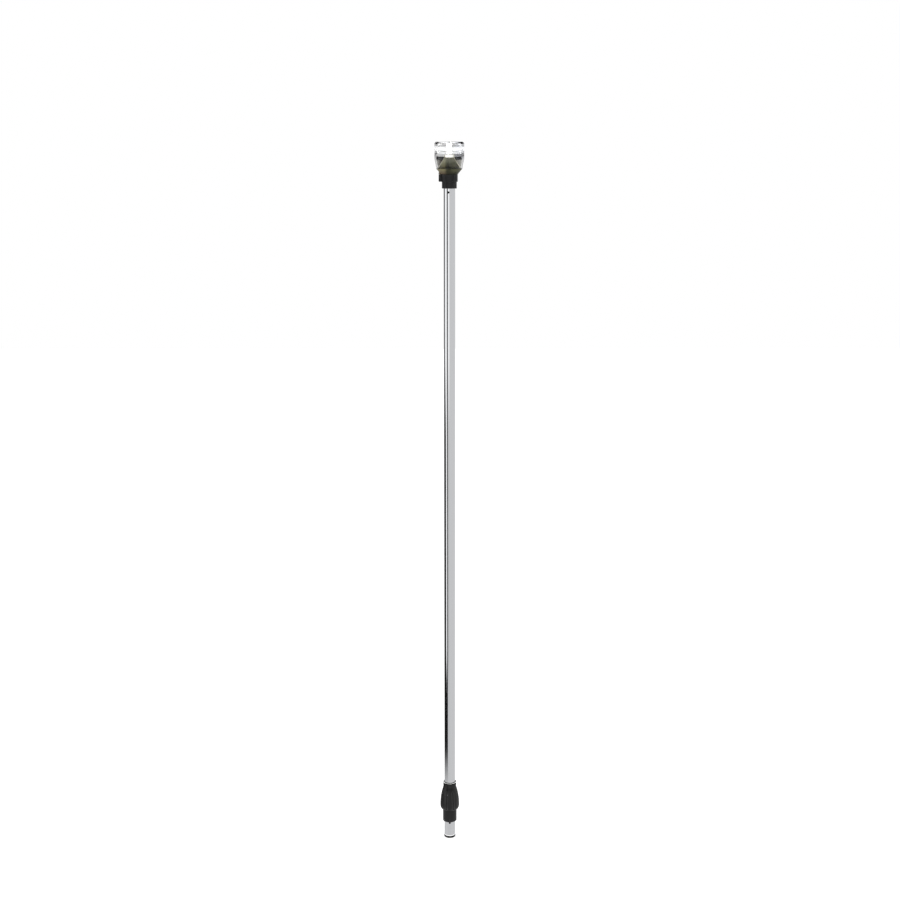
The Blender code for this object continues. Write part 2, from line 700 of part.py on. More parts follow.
def make_plug():
    """The insulated insert in the pole's foot, with the flange that ends the pole."""
    seal_half = ring_section(POLE_BORE - PLUG_SEAL_ROOT, 0.0) + FINE_GAP
    profile = [
        (0.0, PLUG_TOP),
        (INSERT_RADIUS - 0.5 * MM, PLUG_TOP),
        (INSERT_RADIUS, PLUG_TOP - 0.5 * MM),
        (INSERT_RADIUS, PLUG_SEAL_Z + seal_half),
        (PLUG_SEAL_ROOT, PLUG_SEAL_Z + seal_half),
        (PLUG_SEAL_ROOT, PLUG_SEAL_Z - seal_half),
        (INSERT_RADIUS, PLUG_SEAL_Z - seal_half),
        (INSERT_RADIUS, FLANGE_HEIGHT),
        (FLANGE_RADIUS - 0.3 * MM, FLANGE_HEIGHT),
        (FLANGE_RADIUS, FLANGE_HEIGHT - 0.3 * MM),
        (FLANGE_RADIUS, 0.5 * MM),
        (FLANGE_RADIUS - 0.5 * MM, 0.0),
        (0.0, 0.0),
    ]
    plug = turned("plug_body", profile, BLACK_PLASTIC, closed=False)
    for i, side in enumerate((1, -1), 1):
        bore = cylinder(
            f"contact_bore_tool_{i}",
            CONTACT_BORE,
            -MM,
            PLUG_TOP + MM,
            sides=16,
            centre=(side * CONTACT_OFFSET, 0.0),
        )
        cut(plug, bore)
    pin_bore = cylinder("pin_bore_tool", PIN_RADIUS + FINE_GAP, PIN_ROOT - GAP, 12.0 * MM, sides=18)
    point_outwards(pin_bore, 0.0, pin_height())
    cut(plug, pin_bore)


def make_plug_seal():
    section = ring_section(POLE_BORE - PLUG_SEAL_ROOT, 0.0)
    radius = (POLE_BORE + PLUG_SEAL_ROOT) / 2
    return ring("plug_seal", radius, section, PLUG_SEAL_Z, RUBBER, section_sides=6)


def make_contacts():
    """Two brass sleeves, recessed in the plug's end face."""
    profile = [
        (CONTACT_RADIUS, CONTACT_TOP),
        (CONTACT_RADIUS, CONTACT_FOOT),
        (CONTACT_HOLE, CONTACT_FOOT),
        (CONTACT_HOLE, CONTACT_TOP),
    ]
    for name, side in (("contact_positive", 1), ("contact_negative", -1)):
        sleeve = turned(name, profile, BRASS, sides=16)
        sleeve.location.x = side * CONTACT_OFFSET


def make_index_pin():
    profile = [(0.0, PIN_TIP)]
    profile += arc(PIN_RADIUS - 0.5 * MM, PIN_TIP - 0.5 * MM, 0.5 * MM, 0.5 * MM, 90, 0, 2)
    profile += [(PIN_RADIUS, PIN_ROOT), (0.0, PIN_ROOT)]
    pin = turned("index_pin", profile, STEEL, sides=16, closed=False)
    point_outwards(pin, 0.0, pin_height())


# Locking collar --------------------------------------------------------------------


def flare_points(steps):
    """The grip's outer curve, from under its rim down to its widest place."""
    knots = [
        Vector((FLARE_RADIUS, FLARE_TOP)),
        Vector((FLARE_RADIUS + 1.5 * MM, FLARE_TOP - 4.0 * MM)),
        Vector((WAIST_RADIUS, WAIST_Z + 18.2 * MM)),
        Vector((WAIST_RADIUS, WAIST_Z)),
    ]
    return [(point.x, point.y) for point in interpolate_bezier(*knots, steps)]


def grip_groove_tool():
    """One long round cutter for each groove between two ribs, following the flare."""
    offset = GROOVE_RADIUS - GROOVE_DEPTH
    path = [(r, z) for r, z in flare_points(12) if z < GROOVE_TOP]
    path.append((WAIST_RADIUS - 0.2 * MM, GROOVE_FOOT))
    curve = bpy.data.curves.new("groove", "CURVE")
    curve.dimensions = "3D"
    curve.bevel_depth = GROOVE_RADIUS
    curve.bevel_resolution = 3
    curve.use_fill_caps = True
    spline = curve.splines.new("POLY")
    spline.points.add(len(path) - 1)
    for spline_point, (radius, z) in zip(spline.points, path):
        spline_point.co = (radius + offset, 0.0, z, 1.0)
    guide = bpy.data.objects.new("groove", curve)
    cutters.objects.link(guide)
    groove = mesh_of_curve(guide)

    bm = bmesh.new()
    for i in range(RIB_COUNT):
        turned_groove = groove.copy()
        turned_groove.transform(Matrix.Rotation((i + 0.5) * math.tau / RIB_COUNT, 4, "Z"))
        bm.from_mesh(turned_groove)
        bpy.data.meshes.remove(turned_groove)
    bpy.data.meshes.remove(groove)
    return from_bmesh("groove_tool", bm)


def make_collar_grip():
    """The ribbed hand grip. Its skirt reaches over the deck socket and locks with two lugs."""
    profile = arc(RIM_RADIUS - 0.4 * MM, COLLAR_TOP - 0.4 * MM, 0.4 * MM, 0.4 * MM, 90, 0, 2)
    profile += flare_points(12)
    shoulder = WAIST_RADIUS - SKIRT_RADIUS
    height = WAIST_Z - SKIRT_TOP
    profile += arc(SKIRT_RADIUS, WAIST_Z, shoulder, height, 0, -90, 6)[1:]
    profile += [
        (SKIRT_RADIUS, COLLAR_FOOT + 0.3 * MM),
        (SKIRT_RADIUS - 0.3 * MM, COLLAR_FOOT),
        (COLLAR_BORE, COLLAR_FOOT),
        (COLLAR_BORE, COLLAR_TOP - COLLAR_LIP),
        (COLLAR_LIP_BORE, COLLAR_TOP - COLLAR_LIP),
        (COLLAR_LIP_BORE, COLLAR_TOP),
    ]
    grip = turned("collar_grip", profile, RIBBED_PLASTIC)
    cut(grip, grip_groove_tool())
    reach = COLLAR_BORE + 0.4 * MM - LUG_REACH
    for i, angle in enumerate((math.radians(90), math.radians(-90)), 1):
        centre = place(angle, LUG_REACH + reach / 2, LUG_Z)
        add(grip, block(f"lug_tool_{i}", (LUG_LENGTH, reach, LUG_HEIGHT), centre, angle))


def make_collar_bush():
    """The plain sleeve that runs on the pole, inside the grip."""
    top = COLLAR_TOP - COLLAR_LIP - GAP - SEAL_THICKNESS - GAP
    profile = [
        (BUSH_RADIUS, top),
        (BUSH_RADIUS, BUSH_FOOT),
        (BUSH_BORE, BUSH_FOOT),
        (BUSH_BORE, top),
    ]
    return turned("collar_bush", profile, NYLON)


def make_collar_seal():
    """The rubber ring above the bush, which drags lightly on the pole."""
    high = COLLAR_TOP - COLLAR_LIP - GAP
    low = high - SEAL_THICKNESS
    inner = POLE_RADIUS + FINE_GAP
    profile = [(BUSH_RADIUS, high), (BUSH_RADIUS, low), (inner, low), (inner, high)]
    return turned("collar_seal", profile, RUBBER)


clear_scene()
parts = new_collection(PART_COLLECTION)
cutters = new_collection(CUTTER_COLLECTION)

make_lens()
make_lens_gasket()
make_pedestal()
make_tower()
make_light_shield()
make_leds()
make_leads()
make_driver_board()
make_head_base()
make_base_gasket()
make_pedestal_screws()
make_head_screw()
make_pole_seal()
make_pole()
make_wires()
make_plug()
make_plug_seal()
make_contacts()
make_index_pin()
make_collar_grip()
make_collar_bush()
make_collar_seal()
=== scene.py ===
import json
import math

import bmesh
import bpy
from mathutils import Matrix, Vector


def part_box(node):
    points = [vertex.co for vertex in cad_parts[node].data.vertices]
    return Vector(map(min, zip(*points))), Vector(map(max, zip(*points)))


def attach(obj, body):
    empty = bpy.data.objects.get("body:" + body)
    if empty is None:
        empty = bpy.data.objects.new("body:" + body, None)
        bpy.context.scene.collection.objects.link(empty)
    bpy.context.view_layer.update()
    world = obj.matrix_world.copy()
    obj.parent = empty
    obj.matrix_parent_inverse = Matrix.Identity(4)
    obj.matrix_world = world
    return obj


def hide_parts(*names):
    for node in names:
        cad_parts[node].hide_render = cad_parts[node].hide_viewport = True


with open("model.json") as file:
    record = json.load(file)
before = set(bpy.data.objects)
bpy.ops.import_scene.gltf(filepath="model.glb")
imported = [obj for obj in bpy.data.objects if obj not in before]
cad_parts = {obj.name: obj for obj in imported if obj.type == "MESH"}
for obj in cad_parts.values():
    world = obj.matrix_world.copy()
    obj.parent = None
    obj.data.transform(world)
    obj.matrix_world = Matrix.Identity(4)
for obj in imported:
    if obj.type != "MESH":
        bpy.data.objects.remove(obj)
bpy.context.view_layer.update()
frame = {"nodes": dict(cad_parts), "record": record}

# The object: an all-round navigation light on a plug-in pole. Each CAD node gets a fine piece
# that stands for it, turned or swept from the node's own box. Heights and radii that the boxes
# don't give are named here, in metres. Angles are counted round the pole from the front (-Y)
# towards +X.

MM = 0.001
BODY = {
    node: body
    for body, nodes in frame["record"]["behaviour"]["bodies"].items()
    for node in nodes
}


def low(node):
    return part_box(node)[0].z


def high(node):
    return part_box(node)[1].z


def middle(node):
    corner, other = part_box(node)
    return (corner + other) / 2


def reach(node):
    """Half a turned node's width."""
    corner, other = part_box(node)
    return (other.x - corner.x) / 2


POLE_RADIUS = reach("pole_tube")
POLE_BORE = POLE_RADIUS - 1.25 * MM
# The bright cut end also glows as a painted highlight.
CUT_LENGTH = 1.2 * MM  # of bright metal at the pole's lower end
INSERT_RADIUS = POLE_BORE - 0.3 * MM
FLANGE_HEIGHT = 3.2 * MM
SEAL_GROOVE_RADIUS = 7.1 * MM
CONTACT_BORE = 1.7 * MM
PIN_BORE = 1.85 * MM
SCREW_BORE = 1.2 * MM
PILOT_BORE = 1.1 * MM

LENS_WALL = 2.2 * MM
LENS_FOOT_RADIUS = 21.2 * MM
LENS_SHOULDER = 27.5 * MM  # from the lens's top down to its taper
BELT_DROP = 11.7 * MM  # from the lens's top to the middle of the lit belt
BELT_HALF = 3.4 * MM
BELT_BULGE = 1.4 * MM
PRISM_COUNT = 4  # on each side of the belt
PRISM_PITCH = 1.3 * MM
PRISM_DEPTH = 0.4 * MM

SPIGOT_DEPTH = 1.9 * MM  # of the pedestal in the base
LIP_HEIGHT = 1.8 * MM  # of the pedestal in the lens
FUNNEL_RADIUS = reach("led_pedestal")
PEDESTAL_FOOT_RADIUS = 14.7 * MM
EAR_HEIGHT = 3.0 * MM

TOWER_SPIGOT = 2.0 * MM
TOWER_BORE = 4.15 * MM  # in the pedestal, for the tower's spigot
TOWER_TOP_RADIUS = 8.0 * MM
# The tower's white top also glows with painted LED glare.
TOWER_CAP = 5.2 * MM  # height of its white top, whose sides are upright
LEAD_BORE = 2.6 * MM
RIB_HALF_WIDTH = 1.6 * MM
RIB_HEIGHT = 0.3 * MM
SHIELD_HOLE_RADIUS = 11.3 * MM
SHIELD_OPENING = math.radians(62)  # from the front to each end of the shield

KNUCKLE_RADIUS = 13.8 * MM
NECK_RADIUS = 12.2 * MM
NECK_TOP = low("pole_seal") - 5.1 * MM
NECK_FOOT = NECK_TOP - 10.6 * MM
LOBE_ANGLES = [math.radians(-80 + 120 * i) for i in range(3)]
LOBE_CENTRE = 14.4 * MM
LOBE_RADIUS = 3.3 * MM
LOBE_ROUNDING = 1.1 * MM
COUNTERBORE = 2.3 * MM  # for the heads of the pedestal's screws
HEAD_SCREW_ANGLE = math.radians(-7.5)

WAIST_RADIUS = reach("collar_grip")
RIM_RADIUS = 11.7 * MM
SKIRT_RADIUS = 12.2 * MM
RIB_COUNT = 8
GROOVE_RADIUS = 2.6 * MM
GROOVE_DEPTH = 1.1 * MM
GROOVE_FLOOR = 0.38 * MM  # the least that a groove is cut in
LUG_SIZE = (5.0 * MM, 1.1 * MM, 2.4 * MM)
LUG_RADIUS = 10.65 * MM
LUG_RISE = 3.3 * MM  # above the skirt's foot


# Mesh tools ------------------------------------------------------------------------


def place(angle, radius, z=0.0):
    return Vector((radius * math.sin(angle), -radius * math.cos(angle), z))


def rounded(points, steps=4):
    """A closed outline of (radius, height, corner) with each corner rounded by that much."""
    outline = []
    for i, (x, z, corner) in enumerate(points):
        here = Vector((x, z))
        if not corner:
            outline.append((x, z))
            continue
        back = Vector(points[i - 1][:2]) - here
        ahead = Vector(points[(i + 1) % len(points)][:2]) - here
        cut = corner / math.tan(back.angle(ahead) / 2)
        start = here + back.normalized() * min(cut, 0.48 * back.length)
        end = here + ahead.normalized() * min(cut, 0.48 * ahead.length)
        for step in range(steps + 1):
            share = step / steps
            point = start.lerp(here, share).lerp(here.lerp(end, share), share)
            outline.append((point.x, point.y))
    return outline


def arc(centre, radius_x, radius_z, start, end, steps):
    """Points of an elliptic arc about a (radius, height) centre, with its angles in degrees."""
    points = []
    for i in range(steps + 1):
        angle = math.radians(start + (end - start) * i / steps)
        points.append((centre[0] + radius_x * math.cos(angle), centre[1] + radius_z * math.sin(angle)))
    return points


def swept(name, rows, segments=128, closed=True):
    """Rings of points round Z, joined into a skin. A row is a (radius, height) pair, or a
    function of the angle that gives one. An open skin starts and ends on the axis."""
    bm = bmesh.new()
    rings = []
    for row in rows:
        if not callable(row) and row[0] == 0:
            rings.append([bm.verts.new((0, 0, row[1]))])
            continue
        ring = []
        for i in range(segments):
            angle = i * math.tau / segments
            ring.append(bm.verts.new(place(angle, *(row(angle) if callable(row) else row))))
        rings.append(ring)
    pairs = list(zip(rings, rings[1:]))
    if closed:
        pairs.append((rings[-1], rings[0]))
    for upper, lower in pairs:
        for i in range(segments):
            after = (i + 1) % segments
            corners = [
                upper[i % len(upper)],
                upper[after % len(upper)],
                lower[after % len(lower)],
                lower[i % len(lower)],
            ]
            bm.faces.new(dict.fromkeys(corners))
    return solid(name, bm)


def solid(name, bm, crease=32):
    """A smooth-shaded object from a closed bmesh, with its faces pointing out."""
    bmesh.ops.recalc_face_normals(bm, faces=bm.faces)
    mesh = bpy.data.meshes.new(name)
    bm.to_mesh(mesh)
    bm.free()
    mesh.shade_smooth()
    mesh.set_sharp_from_angle(angle=math.radians(crease))
    obj = bpy.data.objects.new(name, mesh)
    bpy.context.scene.collection.objects.link(obj)
    return obj


def apply_modifiers(obj, crease=32):
    bpy.context.view_layer.update()
    evaluated = obj.evaluated_get(bpy.context.evaluated_depsgraph_get())
    mesh = bpy.data.meshes.new_from_object(evaluated)
    obj.modifiers.clear()
    obj.data = mesh
    mesh.shade_smooth()
    mesh.set_sharp_from_angle(angle=math.radians(crease))


def bore(obj, *tools):
    """Cuts the tools out of a piece, and removes them."""
    for tool in tools:
        modifier = obj.modifiers.new(tool.name, "BOOLEAN")
        modifier.operation = "DIFFERENCE"
        modifier.solver = "EXACT"
        modifier.object = tool
    apply_modifiers(obj)
    for tool in tools:
        bpy.data.objects.remove(tool)


def drill(radius, start, end, centre=(0, 0), segments=32):
    """A cutter along Z, from one height to another."""
    tool = swept("drill", [(0, end), (radius, end), (radius, start), (0, start)], segments, closed=False)
    tool.location = (*centre, 0)
    return tool


def point_outwards(obj, angle, z):
    """Turns a piece made along +Z so that it points out of the pole."""
    turn = Matrix.Rotation(angle, 4, "Z") @ Matrix.Rotation(math.radians(90), 4, "X")
    obj.data.transform(Matrix.Translation((0, 0, z)) @ turn)


def rounded_block(name, node, corner, segments=3):
    """A box with rounded edges in the place of a node."""
    corners = [vertex.co for vertex in frame["nodes"][node].data.vertices]
    bm = bmesh.new()
    for corner_point in {tuple(round(value, 7) for value in co) for co in corners}:
        bm.verts.new(corner_point)
    bmesh.ops.convex_hull(bm, input=bm.verts)
    bmesh.ops.dissolve_limit(bm, angle_limit=0.02, verts=bm.verts, edges=bm.edges)
    bmesh.ops.bevel(
        bm, geom=list(bm.edges), offset=corner, segments=segments, profile=0.5, affect="EDGES"
    )
    return solid(name, bm)


def stand_for(obj, node, *materials):
    """Puts a fine piece in a node's place, on its body and in its slot."""
    for material in materials:
        obj.data.materials.append(material)
    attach(obj, BODY[node])
    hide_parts(node)


# Materials -------------------------------------------------------------------------


def add_node(tree, kind, inputs=None, **settings):
    node = tree.nodes.new(kind)
    for name, value in settings.items():
        setattr(node, name, value)
    for name, value in (inputs or {}).items():
        if isinstance(value, bpy.types.NodeSocket):
            tree.links.new(value, node.inputs[name])
        else:
            node.inputs[name].default_value = value
    return node


def ramp(tree, factor, stops, interpolation="LINEAR"):
    """A colour ramp through (position, colour) stops."""
    node = add_node(tree, "ShaderNodeValToRGB", {"Fac": factor})
    node.color_ramp.interpolation = interpolation
    elements = node.color_ramp.elements
    while len(elements) < len(stops):
        elements.new(0.5)
    for element, (position, colour) in zip(elements, stops):
        element.position = position
        element.color = (*colour, 1.0)
    return node.outputs["Color"]


def between(tree, value, from_low, from_high, to_low, to_high):
    """A value moved from one range to another, and kept in it."""
    node = add_node(
        tree,
        "ShaderNodeMapRange",
        {
            "Value": value,
            "From Min": from_low,
            "From Max": from_high,
            "To Min": to_low,
            "To Max": to_high,
        },
    )
    return node.outputs["Result"]


def blend(tree, factor, first, second):
    """A colour between two: the first where the factor is 0, the second where it is 1."""
    node = add_node(tree, "ShaderNodeMix", data_type="RGBA")
    for socket, value in zip((node.inputs[0], node.inputs[6], node.inputs[7]), (factor, first, second)):
        if isinstance(value, bpy.types.NodeSocket):
            tree.links.new(value, socket)
        else:
            socket.default_value = (*value, 1.0)
    return node.outputs[2]


def by_height(tree, height, stops):
    """A colour that changes with height, through (height, colour) stops from the foot up."""
    first, last = stops[0][0], stops[-1][0]
    share = between(tree, height, first, last, 0.0, 1.0)
    return ramp(tree, share, [((z - first) / (last - first), tint) for z, tint in stops])


def shade(colour, factor):
    return tuple(min(1.0, channel * factor) for channel in colour)


def finish_of(
    name,
    colour,
    roughness,
    metallic=0.0,
    grain=900.0,
    grain_height=0.02 * MM,
    mottle=60.0,
    variation=0.12,
    stretch=(1, 1, 1),
    edge_wear_and_highlight=None,
    **sockets,
):
    """A material with its own grain, mottling and roughness. Its colour is fixed, or a function
    that makes one from the place on the piece. The edge colour goes on its raised edges: wear on
    the black moulding, and a painted highlight on the grip's rib crests."""
    material = bpy.data.materials.new(name)
    material.use_nodes = True
    tree = material.node_tree
    shader = tree.nodes["Principled BSDF"]
    shader.inputs["Metallic"].default_value = metallic
    for socket, value in sockets.items():
        shader.inputs[socket.replace("_", " ")].default_value = value
    spot = add_node(tree, "ShaderNodeTexCoord").outputs["Object"]
    drawn = add_node(tree, "ShaderNodeMapping", {"Vector": spot, "Scale": stretch}).outputs["Vector"]
    fine = add_node(tree, "ShaderNodeTexNoise", {"Vector": drawn, "Scale": grain, "Detail": 3.0})
    coarse = add_node(tree, "ShaderNodeTexNoise", {"Vector": drawn, "Scale": mottle, "Detail": 4.0})
    coarse = coarse.outputs["Fac"]
    if callable(colour):
        parts = add_node(tree, "ShaderNodeSeparateXYZ", {"Vector": spot})
        base = colour(tree, parts)
        fade = between(tree, coarse, 0.3, 0.7, 0.0, variation)
        colour_out = blend(tree, fade, base, (0.0, 0.0, 0.0))
    else:
        tints = [(0.3, shade(colour, 1 - variation)), (0.7, shade(colour, 1 + variation))]
        colour_out = ramp(tree, coarse, tints)
    if edge_wear_and_highlight:
        edge = add_node(tree, "ShaderNodeNewGeometry").outputs["Pointiness"]
        colour_out = blend(tree, between(tree, edge, 0.51, 0.57, 0.0, 0.8), colour_out, edge_wear_and_highlight)
    tree.links.new(colour_out, shader.inputs["Base Color"])
    rough = between(tree, coarse, 0.3, 0.7, roughness * 0.85, min(1.0, roughness * 1.15))
    tree.links.new(rough, shader.inputs["Roughness"])
    bump = add_node(tree, "ShaderNodeBump", {"Height": fine.outputs["Fac"], "Distance": grain_height})
    tree.links.new(bump.outputs["Normal"], shader.inputs["Normal"])
    return material


lens_top = high("lens")
shield_foot = low("light_shield")


def lens_painted_shade(tree, place_on):
    """Painted shade: clear in front of the LEDs and greyer to the sides, and at the back of its foot
    painted with the dark base's shading, brown on the left and beige on the right.
    """
    across, back, height = (place_on.outputs[axis] for axis in "XYZ")
    share = between(tree, across, -24 * MM, 24 * MM, 0.0, 1.0)
    grey, bluish, middle = (0.93, 0.93, 0.93), (0.91, 0.92, 0.95), (0.97, 0.97, 0.97)
    upper = ramp(tree, share, [(0.2, grey), (0.4, middle), (0.6, middle), (0.8, bluish)])
    brown, beige, pale = (0.05, 0.04, 0.03), (0.3, 0.28, 0.24), (0.5, 0.5, 0.45)
    painted_foot_shade = ramp(tree, share, [(0.0, pale), (0.2, brown), (0.5, brown), (0.65, beige), (1.0, pale)])
    foot = blend(tree, between(tree, back, -3 * MM, MM, 0.0, 1.0), middle, painted_foot_shade)
    return blend(tree, between(tree, height, shield_foot - MM, shield_foot + MM, 0.0, 1.0), foot, upper)


def olive_painted_shading(tree, place_on):
    """Painted light and shade: as if lit from above, each front face darkens to its foot and the edge
    between them most, and the left face is painted lighter than the right.
    """
    across, height = place_on.outputs["X"], place_on.outputs["Z"]
    foot, waist, top = lens_top - 51 * MM, lens_top - 40 * MM, lens_top - 24 * MM
    left = by_height(
        tree, height, [(foot, (0.07, 0.05, 0.03)), (waist, (0.25, 0.23, 0.12)), (top, (0.7, 0.7, 0.5))]
    )
    right = by_height(
        tree, height, [(foot, (0.03, 0.03, 0.02)), (waist, (0.1, 0.1, 0.05)), (top, (0.4, 0.4, 0.3))]
    )
    edge = by_height(
        tree, height, [(foot, (0.02, 0.02, 0.01)), (waist, (0.04, 0.04, 0.02)), (top, (0.4, 0.4, 0.3))]
    )
    left = blend(tree, between(tree, across, -8 * MM, -4 * MM, 0.0, 1.0), left, edge)
    return blend(tree, between(tree, across, MM, 7 * MM, 0.0, 1.0), left, right)


# The lens's colour is painted shade: greyer sides, and a dark painted foot at the back.
CLEAR = finish_of(
    "clear_polycarbonate", lens_painted_shade, 0.03, grain=160.0, grain_height=0.01 * MM,
    mottle=45.0, variation=0.03, Transmission_Weight=1.0, IOR=1.585,
    Specular_Tint=(0.12, 0.12, 0.12, 1.0),
)
# Painted light: the lens's belt glows as if the LEDs shone through it.
LIT_BELT = finish_of(
    "lit_belt", (0.97, 0.98, 0.98), 0.12, grain=160.0, grain_height=0.01 * MM, mottle=45.0,
    variation=0.02, Transmission_Weight=0.75, IOR=1.585, Emission_Color=(0.98, 0.99, 1.0, 1.0),
    Emission_Strength=0.4,
)
# Painted light and shade for the pedestal and tower: lighter at the top and on the left, darker to the
# foot.
OLIVE = finish_of(
    "olive_moulding_painted_shading", olive_painted_shading, 0.25, grain=1500.0, mottle=130.0, variation=0.25,
    Specular_IOR_Level=0.15,
)
# Painted highlight: the cream colour of the tower's edge ribs stands for their glint.
RIB_HIGHLIGHT = finish_of(
    "painted_rib_highlight", (0.8, 0.77, 0.6), 0.25, grain=1500.0, mottle=150.0, variation=0.08,
)
# Painted light: the tower's white top glows as if lit by the LEDs.
LIT_CAP = finish_of(
    "lit_cap", (0.9, 0.9, 0.86), 0.35, grain=1500.0, mottle=160.0, variation=0.04,
    Emission_Color=(1.0, 0.98, 0.93, 1.0), Emission_Strength=0.6,
)
BLACK_PLASTIC = finish_of(
    "black_moulding", (0.011, 0.011, 0.011), 0.33, grain=2600.0, grain_height=0.012 * MM,
    mottle=70.0, variation=0.25, edge_wear_and_highlight=(0.04, 0.04, 0.04), Specular_IOR_Level=0.2,
)
SHIELD_PLASTIC = finish_of(
    "shield_plastic", (0.028, 0.03, 0.03), 0.4, grain=2200.0, mottle=120.0, variation=0.2,
    Specular_IOR_Level=0.2,
)
# Its edge colour is a painted highlight on the rib crests.
RIBBED_PLASTIC = finish_of(
    "textured_grip", (0.006, 0.006, 0.006), 0.3, grain=1500.0, grain_height=0.04 * MM,
    mottle=90.0, variation=0.3, edge_wear_and_highlight=(0.15, 0.15, 0.15), Specular_IOR_Level=0.4,
)
# A pale lip that also glows as a painted highlight round the pole.
PALE_LIP_HIGHLIGHT = finish_of(
    "pale_lip_and_highlight", (0.92, 0.92, 0.9), 0.3, grain=1500.0, mottle=90.0, variation=0.04,
    Emission_Color=(1.0, 1.0, 1.0, 1.0), Emission_Strength=0.7,
)
RUBBER = finish_of("black_seal_rubber", (0.015, 0.015, 0.015), 0.75, grain=1800.0, mottle=200.0)
NYLON_FINISH = finish_of(
    "natural_nylon", (0.55, 0.54, 0.5), 0.5, grain=1200.0, mottle=80.0, variation=0.06,
    Subsurface_Weight=0.1, Subsurface_Scale=0.002,
)
CERAMIC = finish_of(
    "white_ceramic", (0.9, 0.9, 0.88), 0.4, grain=2500.0, mottle=250.0, variation=0.03
)
PHOSPHOR = finish_of(
    "lit_phosphor", (0.98, 0.95, 0.82), 0.4, grain=3000.0, mottle=900.0, variation=0.04,
    Emission_Color=(1.0, 0.98, 0.93, 1.0), Emission_Strength=14.0,
)
CIRCUIT = finish_of(
    "green_solder_mask", (0.03, 0.18, 0.06), 0.35, grain=900.0, mottle=500.0, variation=0.35,
    Coat_Weight=0.5, Coat_Roughness=0.15,
)
RED_WIRE = finish_of("red_pvc", (0.55, 0.02, 0.02), 0.4, grain=1800.0, mottle=120.0)
BLACK_WIRE = finish_of("black_pvc", (0.02, 0.02, 0.02), 0.4, grain=1800.0, mottle=120.0)
ALUMINIUM = finish_of(
    "drawn_aluminium", (0.87, 0.88, 0.9), 0.06, metallic=1.0, grain=2600.0,
    grain_height=0.004 * MM, mottle=140.0, variation=0.035, stretch=(1, 1, 0.004),
    Anisotropic=0.35,
)
# Bright cut metal that also glows as a painted highlight.
CUT_END_AND_HIGHLIGHT = finish_of(
    "cut_aluminium_end_and_highlight", (0.97, 0.97, 0.98), 0.4, metallic=0.2, grain=2600.0, mottle=300.0,
    variation=0.03, Emission_Color=(1.0, 1.0, 1.0, 1.0), Emission_Strength=0.3,
)
STEEL = finish_of(
    "stainless_steel", (0.74, 0.74, 0.74), 0.22, metallic=1.0, grain=2200.0, mottle=300.0
)
# Dark steel for the index pin; on the head screw it is painted shade of its recess.
DARK_STEEL_AND_SHADE = finish_of(
    "dark_pin_steel_and_shade", (0.012, 0.013, 0.015), 0.34, metallic=0.6, grain=2200.0, mottle=400.0
)
BRASS = finish_of("plain_brass", (0.78, 0.57, 0.22), 0.28, metallic=1.0, grain=2000.0, mottle=350.0)


# Head ------------------------------------------------------------------------------


def make_lens():
    """The clear drum, with fine prism rings above and below the bulge of the lit belt."""
    top = lens_top
    foot = low("lens")
    radius = reach("lens")
    inner = radius - LENS_WALL
    belt = top - BELT_DROP
    shoulder = top - LENS_SHOULDER
    outer = rounded(
        [
            (0.0, top, 0),
            (radius - 2.4 * MM, top - 0.25 * MM, 3.0 * MM),
            (radius, top - 2.4 * MM, 1.6 * MM),
            (radius, shoulder, 4.0 * MM),
            (LENS_FOOT_RADIUS + 0.3 * MM, foot + 2.4 * MM, 1.5 * MM),
            (LENS_FOOT_RADIUS, foot, 0.3 * MM),
            (LENS_FOOT_RADIUS - LENS_WALL, foot, 0.3 * MM),
            (LENS_FOOT_RADIUS - LENS_WALL + 0.3 * MM, foot + 2.4 * MM, 1.5 * MM),
            (inner, shoulder, 3.0 * MM),
            (inner, shoulder + MM, 0),
        ],
        steps=6,
    )
    below = []
    for i in range(PRISM_COUNT, 0, -1):
        base = belt - BELT_HALF - i * PRISM_PITCH
        below += [(inner, base), (inner - PRISM_DEPTH, base + PRISM_PITCH - 0.15 * MM)]
    bulge = arc((inner, belt), -BELT_BULGE, BELT_HALF, -90, 90, 14)
    above = []
    for i in range(PRISM_COUNT):
        base = belt + BELT_HALF + i * PRISM_PITCH
        above += [(inner - PRISM_DEPTH, base + 0.15 * MM), (inner, base + PRISM_PITCH)]
    ceiling = top - 2.6 * MM
    roof = [(inner - 0.3 * MM, ceiling - 0.5 * MM), (inner - 1.2 * MM, ceiling), (0.0, ceiling)]
    lens = swept("lens_drum", outer + below + bulge + above + roof, 160, closed=False)
    stand_for(lens, "lens", CLEAR, LIT_BELT)
    for face in lens.data.polygons:
        centre = face.center
        on_belt = abs(centre.z - belt) < BELT_HALF and math.hypot(centre.x, centre.y) < inner
        face.material_index = 1 if on_belt else 0


def lobe_outline(angle, lobe_radius):
    """How far the lobes' outline is from the pole's axis at an angle, or 0 between the lobes."""
    for lobe in LOBE_ANGLES:
        turn = (angle - lobe + math.pi) % math.tau - math.pi
        side = LOBE_CENTRE * math.sin(turn)
        if abs(side) < lobe_radius and abs(turn) < 1:
            return LOBE_CENTRE * math.cos(turn) + math.sqrt(lobe_radius**2 - side**2)
    return 0.0


def lobed(base, z, lobe_radius=LOBE_RADIUS):
    """A row that follows the lobes where they stand out, and a circle between them."""

    def row(angle):
        outline = lobe_outline(angle, lobe_radius)
        blend = max(0.0, 0.5 * MM - abs(base - outline))
        return max(base, outline) + blend**2 / (2 * MM), z

    return row


